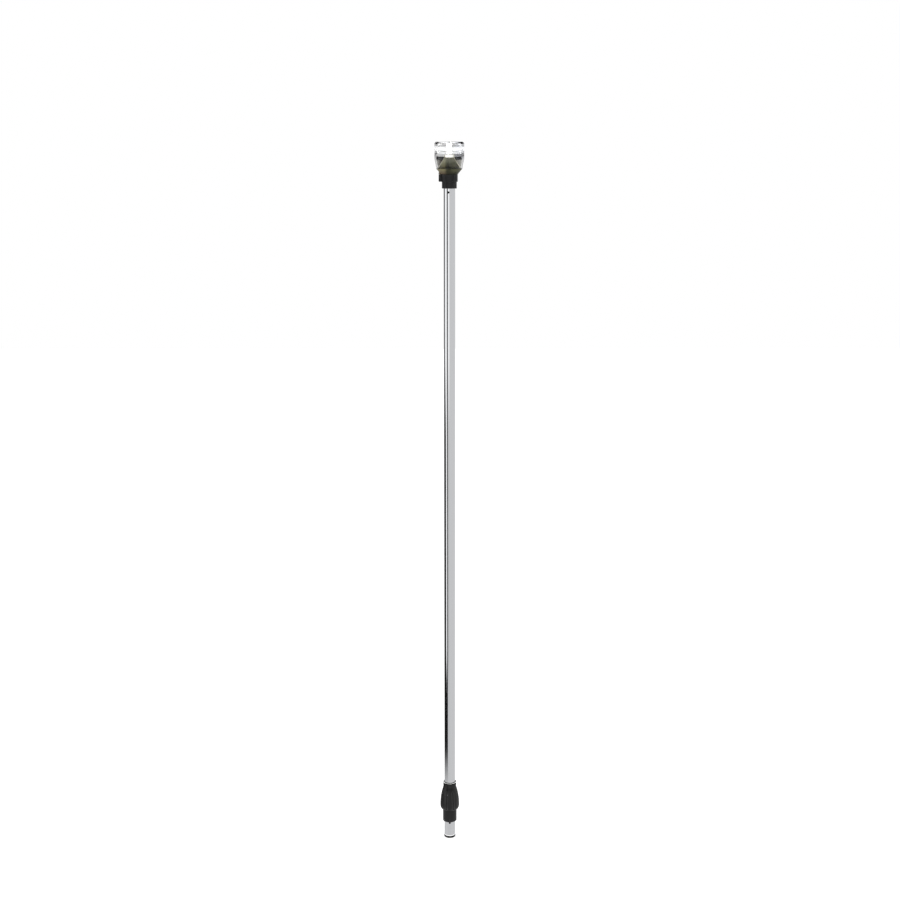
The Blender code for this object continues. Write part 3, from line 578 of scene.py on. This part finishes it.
def make_pedestal():
    """The funnel that seats the lens, with an ear over each lobe of the base."""
    rim = low("lens") - 0.3 * MM
    foot = low("led_pedestal") + SPIGOT_DEPTH
    lip = LENS_FOOT_RADIUS - LENS_WALL - 0.3 * MM
    groove = middle("lens_gasket").z
    ring_radius = reach("lens_gasket") - 0.5 * MM
    spigot = 8.5 * MM
    ear_top = foot + EAR_HEIGHT

    def funnel(z):
        share = (z - foot - 0.9 * MM) / (rim - foot - 0.9 * MM)
        return PEDESTAL_FOOT_RADIUS + (FUNNEL_RADIUS - PEDESTAL_FOOT_RADIUS) * max(0.0, share)

    rows = [
        (TOWER_BORE, rim + LIP_HEIGHT),
        (lip - 0.4 * MM, rim + LIP_HEIGHT),
        (lip, rim + LIP_HEIGHT - 0.4 * MM),
        (lip, rim),
        (ring_radius - 0.62 * MM, rim),
        (ring_radius - 0.62 * MM, groove - 0.5 * MM),
        (ring_radius + 0.62 * MM, groove - 0.5 * MM),
        (ring_radius + 0.62 * MM, rim),
        (FUNNEL_RADIUS - 0.3 * MM, rim),
        (FUNNEL_RADIUS - 0.05 * MM, rim - 0.15 * MM),
        (FUNNEL_RADIUS - 0.15 * MM, rim - 0.5 * MM),
    ]
    heights = [rim - 0.9 * MM - i * (rim - 0.9 * MM - ear_top) / 4 for i in range(5)]
    rows += [(funnel(z), z) for z in heights[:-1]]
    rows += [lobed(funnel(ear_top), ear_top, LOBE_RADIUS - 0.8 * MM)]
    rows += [lobed(funnel(ear_top - 0.2 * MM), ear_top - 0.2 * MM, LOBE_RADIUS - 0.25 * MM)]
    rows += [lobed(funnel(ear_top - 0.7 * MM), ear_top - 0.7 * MM)]
    rows += [lobed(funnel(foot + 0.9 * MM), foot + 0.9 * MM)]
    rows += [lobed(PEDESTAL_FOOT_RADIUS, foot + 0.2 * MM)]
    rows += [lobed(PEDESTAL_FOOT_RADIUS - 0.2 * MM, foot, LOBE_RADIUS - 0.2 * MM)]
    rows += [
        (spigot, foot),
        (spigot, foot - SPIGOT_DEPTH + 0.3 * MM),
        (spigot - 0.3 * MM, foot - SPIGOT_DEPTH),
        (spigot - 1.6 * MM, foot - SPIGOT_DEPTH),
        (spigot - 1.6 * MM, foot + 2.0 * MM),
        (TOWER_BORE, rim - 1.6 * MM),
    ]
    pedestal = swept("pedestal_funnel", rows, 240)
    pilots = []
    for angle in LOBE_ANGLES:
        centre = place(angle, LOBE_CENTRE)
        top = high("pedestal_screw_1") + 0.3 * MM
        pilots.append(drill(PILOT_BORE, foot - MM, top, centre.xy))
    bore(pedestal, *pilots)
    stand_for(pedestal, "led_pedestal", OLIVE)


def make_tower():
    """The hollow four-sided tower, with a fine rib on three of its edges, coloured cream as a painted
    highlight.
    """
    top = high("led_tower")
    spigot_foot = low("led_tower")
    foot = spigot_foot + TOWER_SPIGOT
    foot_radius = reach("led_tower") + 0.35 * MM
    corner = 0.45 * MM

    cap_z = top - TOWER_CAP

    def radius_at(z):
        share = min(1.0, (z - foot) / (cap_z - foot))
        return foot_radius + (TOWER_TOP_RADIUS - foot_radius) * share

    def section(z, inset=0.0, ribbed=True):
        size = radius_at(z) - inset

        def row(angle):
            turn = (angle + math.pi / 4) % (math.pi / 2) - math.pi / 4
            side = size * math.sqrt(0.5) / math.cos(math.pi / 4 - abs(turn))
            edge = size - corner
            radius = side - max(0.0, side - edge) ** 2 / (2 * corner + max(0.0, side - edge))
            across = abs(turn) * radius
            front = abs((angle + math.pi) % math.tau - math.pi) < math.pi / 4
            if ribbed and not front and across < RIB_HALF_WIDTH:
                radius += RIB_HEIGHT * (1 - (across / RIB_HALF_WIDTH) ** 2)
            return radius, z

        return row

    rows = [section(top, 0.5 * MM, False), section(top - 0.12 * MM, 0.12 * MM)]
    rows += [section(top - 0.45 * MM), section((top + cap_z) / 2), section(cap_z)]
    rows += [section(cap_z - (cap_z - foot) * i / 12) for i in range(1, 12)]
    rows += [section(foot + 0.4 * MM), section(foot, 0.35 * MM, False)]
    rows += [
        (4.0 * MM, foot),
        (4.0 * MM, spigot_foot + 0.3 * MM),
        (3.7 * MM, spigot_foot),
        (LEAD_BORE, spigot_foot),
        (LEAD_BORE, top),
    ]
    tower = swept("led_tower_moulding", rows, 360)
    stand_for(tower, "led_tower", OLIVE, RIB_HIGHLIGHT, LIT_CAP)
    for face in tower.data.polygons:
        x, y, z = face.center
        distance = math.hypot(x, y)
        if z < foot + 0.1 * MM or distance < LEAD_BORE + 0.1 * MM:
            continue
        angle = math.atan2(x, -y)
        turn = (angle + math.pi / 4) % (math.pi / 2) - math.pi / 4
        on_rib = abs(angle) > math.pi / 4 and abs(turn) * distance < RIB_HALF_WIDTH
        # Rib faces take the cream painted highlight, and faces above the cap the cap's painted glow.
        face.material_index = 1 if on_rib else 2 if z > cap_z else 0


def make_shield():
    """The plate round the tower, open at the front, with rounded edges."""
    bottom, top = low("light_shield"), high("light_shield")
    outer = reach("light_shield")
    inner = SHIELD_HOLE_RADIUS
    steps = 96
    section = rounded(
        [
            (outer, top, 0.5 * MM),
            (outer, bottom, 0.5 * MM),
            (inner, bottom, 0.5 * MM),
            (inner, top, 0.5 * MM),
        ],
        steps=3,
    )
    bm = bmesh.new()
    rings = []
    for i in range(steps + 1):
        angle = SHIELD_OPENING + (math.tau - 2 * SHIELD_OPENING) * i / steps
        rings.append([bm.verts.new(place(angle, radius, z)) for radius, z in section])
    for ring, following in zip(rings, rings[1:]):
        for k in range(len(section)):
            after = (k + 1) % len(section)
            bm.faces.new((ring[k], ring[after], following[after], following[k]))
    bm.faces.new(rings[0])
    bm.faces.new(reversed(rings[-1]))
    stand_for(solid("light_shield_plate", bm), "light_shield", SHIELD_PLASTIC)


def make_leds():
    bottom, top = low("led_board"), high("led_board")
    radius = reach("led_board")
    rows = rounded(
        [
            (radius, top, 0.2 * MM),
            (radius, bottom, 0.2 * MM),
            (LEAD_BORE * 0.5, bottom, 0.1 * MM),
            (LEAD_BORE * 0.5, top, 0.1 * MM),
        ]
    )
    stand_for(swept("led_board_disc", rows, 96), "led_board", CERAMIC)
    stand_for(rounded_block("led_post_block", "led_post", 0.35 * MM), "led_post", CERAMIC)
    for i in range(1, 5):
        chip = rounded_block(f"led_chip_body_{i}", f"led_chip_{i}", 0.18 * MM)
        stand_for(chip, f"led_chip_{i}", PHOSPHOR)


def make_driver_board():
    bottom, top = low("driver_board"), high("driver_board")
    radius = reach("driver_board")
    rows = [(0.0, top), (radius - 0.1 * MM, top), (radius, top - 0.1 * MM)]
    rows += [(radius, bottom + 0.1 * MM), (radius - 0.1 * MM, bottom), (0.0, bottom)]
    stand_for(swept("driver_board_disc", rows, 96, closed=False), "driver_board", CIRCUIT)


def make_head_base():
    """The black knuckle with three lobes, its neck round the pole and its spigot inside."""
    top = low("led_pedestal") + SPIGOT_DEPTH - 0.3 * MM
    spigot_foot = low("head_base")
    neck_bore = POLE_RADIUS + 0.3 * MM
    groove_top = high("pole_seal") + 0.3 * MM
    pocket = reach("driver_board") + 0.3 * MM
    floor = low("driver_board") - 0.3 * MM
    lobe_foot = NECK_TOP + 0.2 * MM
    rows = [
        lobed(KNUCKLE_RADIUS - 0.5 * MM, top, LOBE_RADIUS - 0.5 * MM),
        lobed(KNUCKLE_RADIUS - 0.12 * MM, top - 0.15 * MM, LOBE_RADIUS - 0.14 * MM),
        lobed(KNUCKLE_RADIUS, top - 0.5 * MM),
    ]
    rows += [lobed(KNUCKLE_RADIUS, lobe_foot + LOBE_ROUNDING + i * 2.4 * MM) for i in (2, 1, 0)]
    for step in range(1, 6):
        turn = math.radians(90 * step / 5)
        drop = LOBE_ROUNDING * math.sin(turn)
        shrink = LOBE_ROUNDING * (1 - math.cos(turn))
        rows.append(
            lobed(KNUCKLE_RADIUS - 0.35 * shrink, lobe_foot + LOBE_ROUNDING - drop, LOBE_RADIUS - shrink)
        )
    rows += rounded(
        [
            (KNUCKLE_RADIUS - 0.5 * MM, lobe_foot, 0),
            (KNUCKLE_RADIUS - 0.9 * MM, NECK_TOP, 0.4 * MM),
            (NECK_RADIUS, NECK_TOP, 0.5 * MM),
            (NECK_RADIUS, NECK_FOOT, 0.6 * MM),
            (neck_bore, NECK_FOOT, 0.25 * MM),
            (neck_bore, groove_top, 0.2 * MM),
            (INSERT_RADIUS, groove_top, 0.2 * MM),
            (INSERT_RADIUS, spigot_foot, 0.8 * MM),
            (4.5 * MM, spigot_foot, 0.3 * MM),
            (4.5 * MM, floor, 0.3 * MM),
            (pocket, floor, 0.2 * MM),
            (pocket, top, 0.2 * MM),
        ]
    )
    groove = middle("base_gasket").z
    ring_radius = reach("base_gasket") - 0.55 * MM
    rows += [
        (ring_radius - 0.68 * MM, top),
        (ring_radius - 0.68 * MM, groove - 0.55 * MM),
        (ring_radius + 0.68 * MM, groove - 0.55 * MM),
        (ring_radius + 0.68 * MM, top),
    ]
    base = swept("head_base_knuckle", rows, 240)
    tools = []
    for angle in LOBE_ANGLES:
        centre = place(angle, LOBE_CENTRE).xy
        tools.append(drill(SCREW_BORE, lobe_foot, top + MM, centre))
        tools.append(drill(COUNTERBORE, lobe_foot - MM, lobe_foot + 3.6 * MM, centre))
    pilot = drill(PILOT_BORE, 5.3 * MM, POLE_RADIUS)
    point_outwards(pilot, HEAD_SCREW_ANGLE, middle("head_screw").z)
    bore(base, *tools, pilot)
    stand_for(base, "head_base", BLACK_PLASTIC)


def ring_piece(name, node, material):
    """A round-section ring in a node's place."""
    bottom, top = low(node), high(node)
    section = (top - bottom) / 2
    rows = arc((reach(node) - section, (top + bottom) / 2), section, section, 90, -250, 17)
    stand_for(swept(name, rows, 160), node, material)


def sleeve_piece(name, node, inner, corner, material, segments=128):
    """A plain sleeve or washer in a node's place, with rounded edges."""
    bottom, top = low(node), high(node)
    radius = reach(node)
    rows = rounded(
        [(radius, top, corner), (radius, bottom, corner), (inner, bottom, corner), (inner, top, corner)]
    )
    sleeve = swept(name, rows, segments)
    centre = middle(node)
    sleeve.data.transform(Matrix.Translation((centre.x, centre.y, 0)))
    stand_for(sleeve, node, material)


def screw_mesh(name, head_radius, head_height, shank, length):
    """A pan-head screw along +Z, with its head's crown at 0, a cross recess and a thread."""
    pitch = 0.8 * MM
    depth = head_height * 0.6

    def recess(radius, crown):
        def row(angle):
            arm = min(abs(math.sin(angle)), abs(math.cos(angle))) * radius
            inside = max(0.0, 1 - arm / (head_radius * 0.17)) if radius < head_radius * 0.62 else 0.0
            return radius, crown + depth * min(1.0, 2.2 * inside)

        return row

    rows = [(0.0, depth)]
    for share in (0.12, 0.25, 0.38, 0.5, 0.6, 0.64, 0.75, 0.86):
        crown = head_height * 0.35 * share**3
        rows.append(recess(head_radius * share, crown))
    rows += [
        (head_radius * 0.96, head_height * 0.38),
        (head_radius, head_height * 0.6),
        (head_radius, head_height - 0.08 * MM),
        (head_radius - 0.08 * MM, head_height),
        (shank, head_height),
    ]
    steps = int((length - 1.4 * MM - head_height) / (pitch / 5))
    for i in range(1, steps):
        z = head_height + i * pitch / 5

        def thread(angle, z=z):
            phase = (z / pitch - angle / math.tau) % 1.0
            return shank - 0.16 * MM * abs(2 * phase - 1), z

        rows.append(thread)
    rows += [(shank * 0.8, length - 1.2 * MM), (shank * 0.4, length), (0.0, length)]
    return swept(name, rows, 48, closed=False)


def make_screws():
    for i, angle in enumerate(LOBE_ANGLES, 1):
        node = f"pedestal_screw_{i}"
        bottom, top = low(node), high(node)
        screw = screw_mesh(f"pedestal_screw_body_{i}", 2.0 * MM, 1.5 * MM, 0.95 * MM, top - bottom)
        screw.data.transform(Matrix.Translation(place(angle, LOBE_CENTRE, bottom)))
        stand_for(screw, node, STEEL)
    proud = POLE_RADIUS + 1.15 * MM
    tip = 5.6 * MM
    screw = screw_mesh("head_screw_body", 1.75 * MM, 1.0 * MM, 0.95 * MM, proud - tip)
    screw.data.transform(Matrix.Translation((0, 0, proud)) @ Matrix.Rotation(math.pi, 4, "X"))
    point_outwards(screw, HEAD_SCREW_ANGLE, middle("head_screw").z)
    # The head screw is dark as painted shade of its recess.
    stand_for(screw, "head_screw", DARK_STEEL_AND_SHADE)


# Pole, plug and wires --------------------------------------------------------------


def make_pole():
    bottom, top = low("pole_tube"), high("pole_tube")
    pin_z = middle("index_pin").z
    screw_z = middle("head_screw").z
    heights = [pin_z - 4 * MM, pin_z + 4 * MM]
    heights += [pin_z + (screw_z - pin_z) * i / 12 for i in range(1, 12)]
    heights += [screw_z - 4 * MM, screw_z + 4 * MM]
    rows = [(POLE_BORE, top), (POLE_RADIUS - 0.2 * MM, top), (POLE_RADIUS, top - 0.2 * MM)]
    rows += [(POLE_RADIUS, z) for z in reversed(heights)]
    rows += [(POLE_RADIUS, bottom + CUT_LENGTH), (POLE_RADIUS, bottom + 0.2 * MM)]
    rows += [(POLE_RADIUS - 0.2 * MM, bottom), (POLE_BORE, bottom)]
    rows += [(POLE_BORE, z) for z in heights]
    pole = swept("pole_tube_drawn", rows, 128)
    screw_hole = drill(SCREW_BORE, 6 * MM, 12 * MM)
    point_outwards(screw_hole, HEAD_SCREW_ANGLE, screw_z)
    pin_hole = drill(PIN_BORE, 6 * MM, 12 * MM)
    point_outwards(pin_hole, 0.0, pin_z)
    bore(pole, screw_hole, pin_hole)
    stand_for(pole, "pole_tube", ALUMINIUM, CUT_END_AND_HIGHLIGHT)
    for face in pole.data.polygons:
        face.material_index = 1 if face.center.z < bottom + CUT_LENGTH else 0


def make_plug():
    """The insulated insert, with its flange, seal groove, two bores and the pin's bore."""
    top = high("plug_body")
    flange = reach("plug_body")
    seal_z = middle("plug_seal").z
    half = 0.6 * MM
    outline = rounded(
        [
            (0.0, top, 0),
            (INSERT_RADIUS, top, 0.5 * MM),
            (INSERT_RADIUS, seal_z + half, 0.1 * MM),
            (SEAL_GROOVE_RADIUS, seal_z + half, 0.1 * MM),
            (SEAL_GROOVE_RADIUS, seal_z - half, 0.1 * MM),
            (INSERT_RADIUS, seal_z - half, 0.1 * MM),
            (INSERT_RADIUS, FLANGE_HEIGHT, 0.1 * MM),
            (flange, FLANGE_HEIGHT, 0.35 * MM),
            (flange, 0.0, 0.6 * MM),
            (0.0, 0.0, 0),
        ]
    )
    plug = swept("plug_insert", outline, 128, closed=False)
    tools = []
    for node in ("contact_positive", "contact_negative"):
        tools.append(drill(CONTACT_BORE, -MM, top + MM, (middle(node).x, 0)))
    pin_bore = drill(PIN_BORE, 4.5 * MM, 12 * MM)
    point_outwards(pin_bore, 0.0, middle("index_pin").z)
    bore(plug, *tools, pin_bore)
    stand_for(plug, "plug_body", BLACK_PLASTIC)
    for node in ("contact_positive", "contact_negative"):
        sleeve_piece(f"{node}_sleeve", node, 0.8 * MM, 0.15 * MM, BRASS, segments=64)


def make_index_pin():
    corner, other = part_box("index_pin")
    radius = (other.z - corner.z) / 2
    tip, root = -corner.y, -other.y
    rows = rounded([(0.0, tip, 0), (radius, tip, 0.6 * MM), (radius, root, 0.2 * MM), (0.0, root, 0)])
    pin = swept("index_pin_dowel", rows, 64, closed=False)
    point_outwards(pin, 0.0, (corner.z + other.z) / 2)
    stand_for(pin, "index_pin", DARK_STEEL_AND_SHADE)


# Locking collar --------------------------------------------------------------------


def make_collar_grip():
    """The ribbed grip: eight ribs between round grooves, a waist, and a skirt with two lugs."""
    foot, top = low("collar_grip"), high("collar_grip")
    waist_z = foot + 29.8 * MM
    skirt_top = foot + 22.0 * MM
    flare_top = top - 9.1 * MM
    groove_top = foot + 59.0 * MM
    groove_foot = foot + 24.4 * MM
    groove_half = math.sqrt(GROOVE_RADIUS**2 - (GROOVE_RADIUS - GROOVE_DEPTH) ** 2)
    bore_radius = 10.8 * MM
    lip_bore = 10.1 * MM
    lip_foot = top - 4.5 * MM

    def flare(share):
        """The outer curve from under the rim, at 0, to the waist, at 1."""
        knots = (
            (11.4 * MM, flare_top),
            (12.9 * MM, flare_top - 4.0 * MM),
            (WAIST_RADIUS, waist_z + 18.2 * MM),
            (WAIST_RADIUS, waist_z),
        )
        weights = ((1 - share) ** 3, 3 * share * (1 - share) ** 2, 3 * share**2 * (1 - share), share**3)
        return tuple(sum(w * knot[i] for w, knot in zip(weights, knots)) for i in range(2))

    def fluted(radius, z):
        rise = min(1.0, max(0.0, (groove_top - z) / (3.0 * MM)))
        fall = min(1.0, max(0.0, (z - groove_foot) / (1.6 * MM)))
        fade = math.sin(rise * math.pi / 2) * math.sin(fall * math.pi / 2)

        def row(angle):
            turn = angle % (math.tau / RIB_COUNT) - math.pi / RIB_COUNT
            across = abs(turn) * radius
            if across >= groove_half + 0.4 * MM:
                return radius, z
            if across >= groove_half - 0.4 * MM:
                share = (groove_half + 0.4 * MM - across) / (0.8 * MM)
                return radius - fade * GROOVE_FLOOR * share**2, z
            dip = math.sqrt(GROOVE_RADIUS**2 - across**2) - (GROOVE_RADIUS - GROOVE_DEPTH)
            return radius - fade * max(dip, GROOVE_FLOOR), z

        return row

    rows = [(RIM_RADIUS - 0.4 * MM, top)]
    rows += arc((RIM_RADIUS - 0.5 * MM, top - 0.5 * MM), 0.5 * MM, 0.5 * MM, 75, 0, 4)
    steps = 56
    rows += [fluted(*flare(i / steps)) for i in range(steps + 1)]
    sweep = arc(
        (SKIRT_RADIUS, waist_z), WAIST_RADIUS - SKIRT_RADIUS, waist_z - skirt_top, 0, -90, 18
    )[1:]
    rows += [fluted(radius, z) for radius, z in sweep]
    rows += rounded(
        [
            (SKIRT_RADIUS, skirt_top - 0.5 * MM, 0),
            (SKIRT_RADIUS, foot, 0.4 * MM),
            (bore_radius, foot, 0.2 * MM),
            (bore_radius, lip_foot, 0.2 * MM),
            (lip_bore, lip_foot, 0.2 * MM),
            (lip_bore, top, 0.3 * MM),
        ]
    )
    grip = swept("collar_grip_ribbed", rows, 288)
    for angle in (math.radians(90), math.radians(-90)):
        bm = bmesh.new()
        bmesh.ops.create_cube(bm, size=1.0, matrix=Matrix.Diagonal((*LUG_SIZE, 1.0)))
        bmesh.ops.bevel(
            bm, geom=list(bm.edges), offset=0.3 * MM, segments=3, profile=0.5, affect="EDGES"
        )
        lug = solid("lug", bm)
        lug.location = place(angle, LUG_RADIUS, foot + LUG_RISE)
        lug.rotation_euler.z = angle
        modifier = grip.modifiers.new("lug", "BOOLEAN")
        modifier.operation = "UNION"
        modifier.solver = "EXACT"
        modifier.object = lug
        apply_modifiers(grip)
        bpy.data.objects.remove(lug)
    stand_for(grip, "collar_grip", RIBBED_PLASTIC, PALE_LIP_HIGHLIGHT)
    # The top and inner lip faces take the pale lip with its painted highlight.
    for face in grip.data.polygons:
        distance = math.hypot(face.center.x, face.center.y)
        on_lip = face.center.z > top - 0.15 * MM or (distance < 10.5 * MM and face.center.z > lip_foot)
        face.material_index = 1 if on_lip else 0


# Studio ----------------------------------------------------------------------------

# The room that the gloss sees: light walls, with dark flags and a window on the left. Each row
# takes over from the one below it between two heights, given as sines of the elevation, and
# has steps of (azimuth in degrees, brightness).
WALL = 0.8
FLAG = 0.35
BLACK_FLAG = 0.1
WINDOW = 1.0
ROOM = [
    (-1.0, -0.9, [(-180, WALL)]),
    (-0.42, -0.4, [(-180, WALL), (-140, BLACK_FLAG), (-40, WALL)]),
    (-0.36, -0.34, [(-180, WALL), (-140, BLACK_FLAG), (-80, WINDOW), (-55, FLAG), (-30, WALL)]),
    (-0.2, -0.15, [(-180, WALL), (-140, FLAG), (-100, WINDOW), (-55, FLAG), (-30, WINDOW), (0, WALL)]),
    (0.0, 0.3, [(-180, WALL), (-60, FLAG), (60, WINDOW), (110, FLAG)]),
]


def make_world():
    """A white room. Only what is glossy sees its darker and lighter sides."""
    world = bpy.data.worlds.new("studio")
    bpy.context.scene.world = world
    world.use_nodes = True
    tree = world.node_tree
    tree.nodes.clear()
    direction = add_node(tree, "ShaderNodeTexCoord").outputs["Generated"]
    parts = add_node(tree, "ShaderNodeSeparateXYZ", {"Vector": direction})
    back = add_node(tree, "ShaderNodeMath", {0: parts.outputs["Y"], 1: -1.0}, operation="MULTIPLY")
    angle = add_node(
        tree, "ShaderNodeMath", {0: parts.outputs["X"], 1: back.outputs[0]}, operation="ARCTAN2"
    )
    share = between(tree, angle.outputs[0], -math.pi, math.pi, 0.0, 1.0)
    room = None
    for start, end, steps in ROOM:
        stops = []
        for azimuth, brightness in steps:
            stops.append(((azimuth + 180) / 360, (brightness**2.2,) * 3))
        tint = ramp(tree, share, stops, "CONSTANT")
        if room:
            tint = blend(tree, between(tree, parts.outputs["Z"], start, end, 0.0, 1.0), room, tint)
        room = tint
    path = add_node(tree, "ShaderNodeLightPath")
    plain = add_node(tree, "ShaderNodeBackground", {"Color": (1.0, 1.0, 1.0, 1.0), "Strength": 1.0})
    seen = add_node(tree, "ShaderNodeBackground", {"Color": room, "Strength": 1.0})
    mixed = add_node(
        tree,
        "ShaderNodeMixShader",
        {0: path.outputs["Is Glossy Ray"], 1: plain.outputs[0], 2: seen.outputs[0]},
    )
    add_node(tree, "ShaderNodeOutputWorld", {"Surface": mixed.outputs[0]})


def make_floor():
    mesh = bpy.data.meshes.new("floor")
    bm = bmesh.new()
    bmesh.ops.create_grid(bm, x_segments=1, y_segments=1, size=6.0)
    bm.to_mesh(mesh)
    bm.free()
    floor = bpy.data.objects.new("floor", mesh)
    bpy.context.scene.collection.objects.link(floor)
    floor.location.z = -0.5 * MM
    floor.visible_glossy = False
    material = bpy.data.materials.new("pale_floor")
    material.use_nodes = True
    shader = material.node_tree.nodes["Principled BSDF"]
    shader.inputs["Base Color"].default_value = (0.9, 0.9, 0.9, 1.0)
    shader.inputs["Roughness"].default_value = 0.9
    shader.inputs["Emission Color"].default_value = (1.0, 1.0, 1.0, 1.0)
    shader.inputs["Emission Strength"].default_value = 0.35
    mesh.materials.append(material)


def make_light(name, location, target, size, power):
    data = bpy.data.lights.new(name, "AREA")
    data.shape = "RECTANGLE"
    data.size, data.size_y = size
    data.energy = power
    light = bpy.data.objects.new(name, data)
    bpy.context.scene.collection.objects.link(light)
    light.location = location
    aim = Vector(target) - Vector(location)
    light.rotation_euler = aim.to_track_quat("-Z", "Y").to_euler()
    light.visible_glossy = False


CAMERA_PLACE = (0.0008, -2.4855, 1.2446)
CAMERA_LENS = 60.04
CAMERA_PITCH = math.radians(77.8)
CAMERA_LEAN = math.radians(-0.037)


def make_camera():
    data = bpy.data.cameras.new("camera")
    data.lens = CAMERA_LENS
    data.sensor_width = 36.0
    data.clip_start = 0.01
    camera = bpy.data.objects.new("camera", data)
    bpy.context.scene.collection.objects.link(camera)
    camera.location = CAMERA_PLACE
    lean = Matrix.Rotation(CAMERA_LEAN, 3, "Z")
    camera.rotation_euler = (Matrix.Rotation(CAMERA_PITCH, 3, "X") @ lean).to_euler()
    bpy.context.scene.camera = camera


make_lens()
ring_piece("lens_seat_ring", "lens_gasket", RUBBER)
make_pedestal()
make_tower()
make_shield()
make_leds()
make_driver_board()
make_head_base()
ring_piece("base_seat_ring", "base_gasket", RUBBER)
make_screws()
sleeve_piece("pole_end_seal", "pole_seal", INSERT_RADIUS + 0.15 * MM, 0.2 * MM, RUBBER)
make_pole()
make_plug()
ring_piece("plug_ring", "plug_seal", RUBBER)
make_index_pin()
make_collar_grip()
sleeve_piece("collar_bush_sleeve", "collar_bush", POLE_RADIUS + 0.3 * MM, 0.25 * MM, NYLON_FINISH)
sleeve_piece("collar_drag_ring", "collar_seal", POLE_RADIUS + 0.15 * MM, 0.25 * MM, RUBBER)
for node, material in (
    ("wire_red", RED_WIRE),
    ("wire_black", BLACK_WIRE),
    ("led_lead_red", RED_WIRE),
    ("led_lead_black", BLACK_WIRE),
):
    frame["nodes"][node].material_slots[0].material = material

make_world()
make_floor()
make_light("key_light", (-1.6, -1.5, 2.1), (0, 0, 0.7), (1.2, 1.6), 14)
make_light("fill_light", (1.8, -1.0, 1.3), (0, 0, 0.6), (0.5, 1.8), 9)
make_camera()
bpy.context.scene.view_settings.view_transform = "Standard"
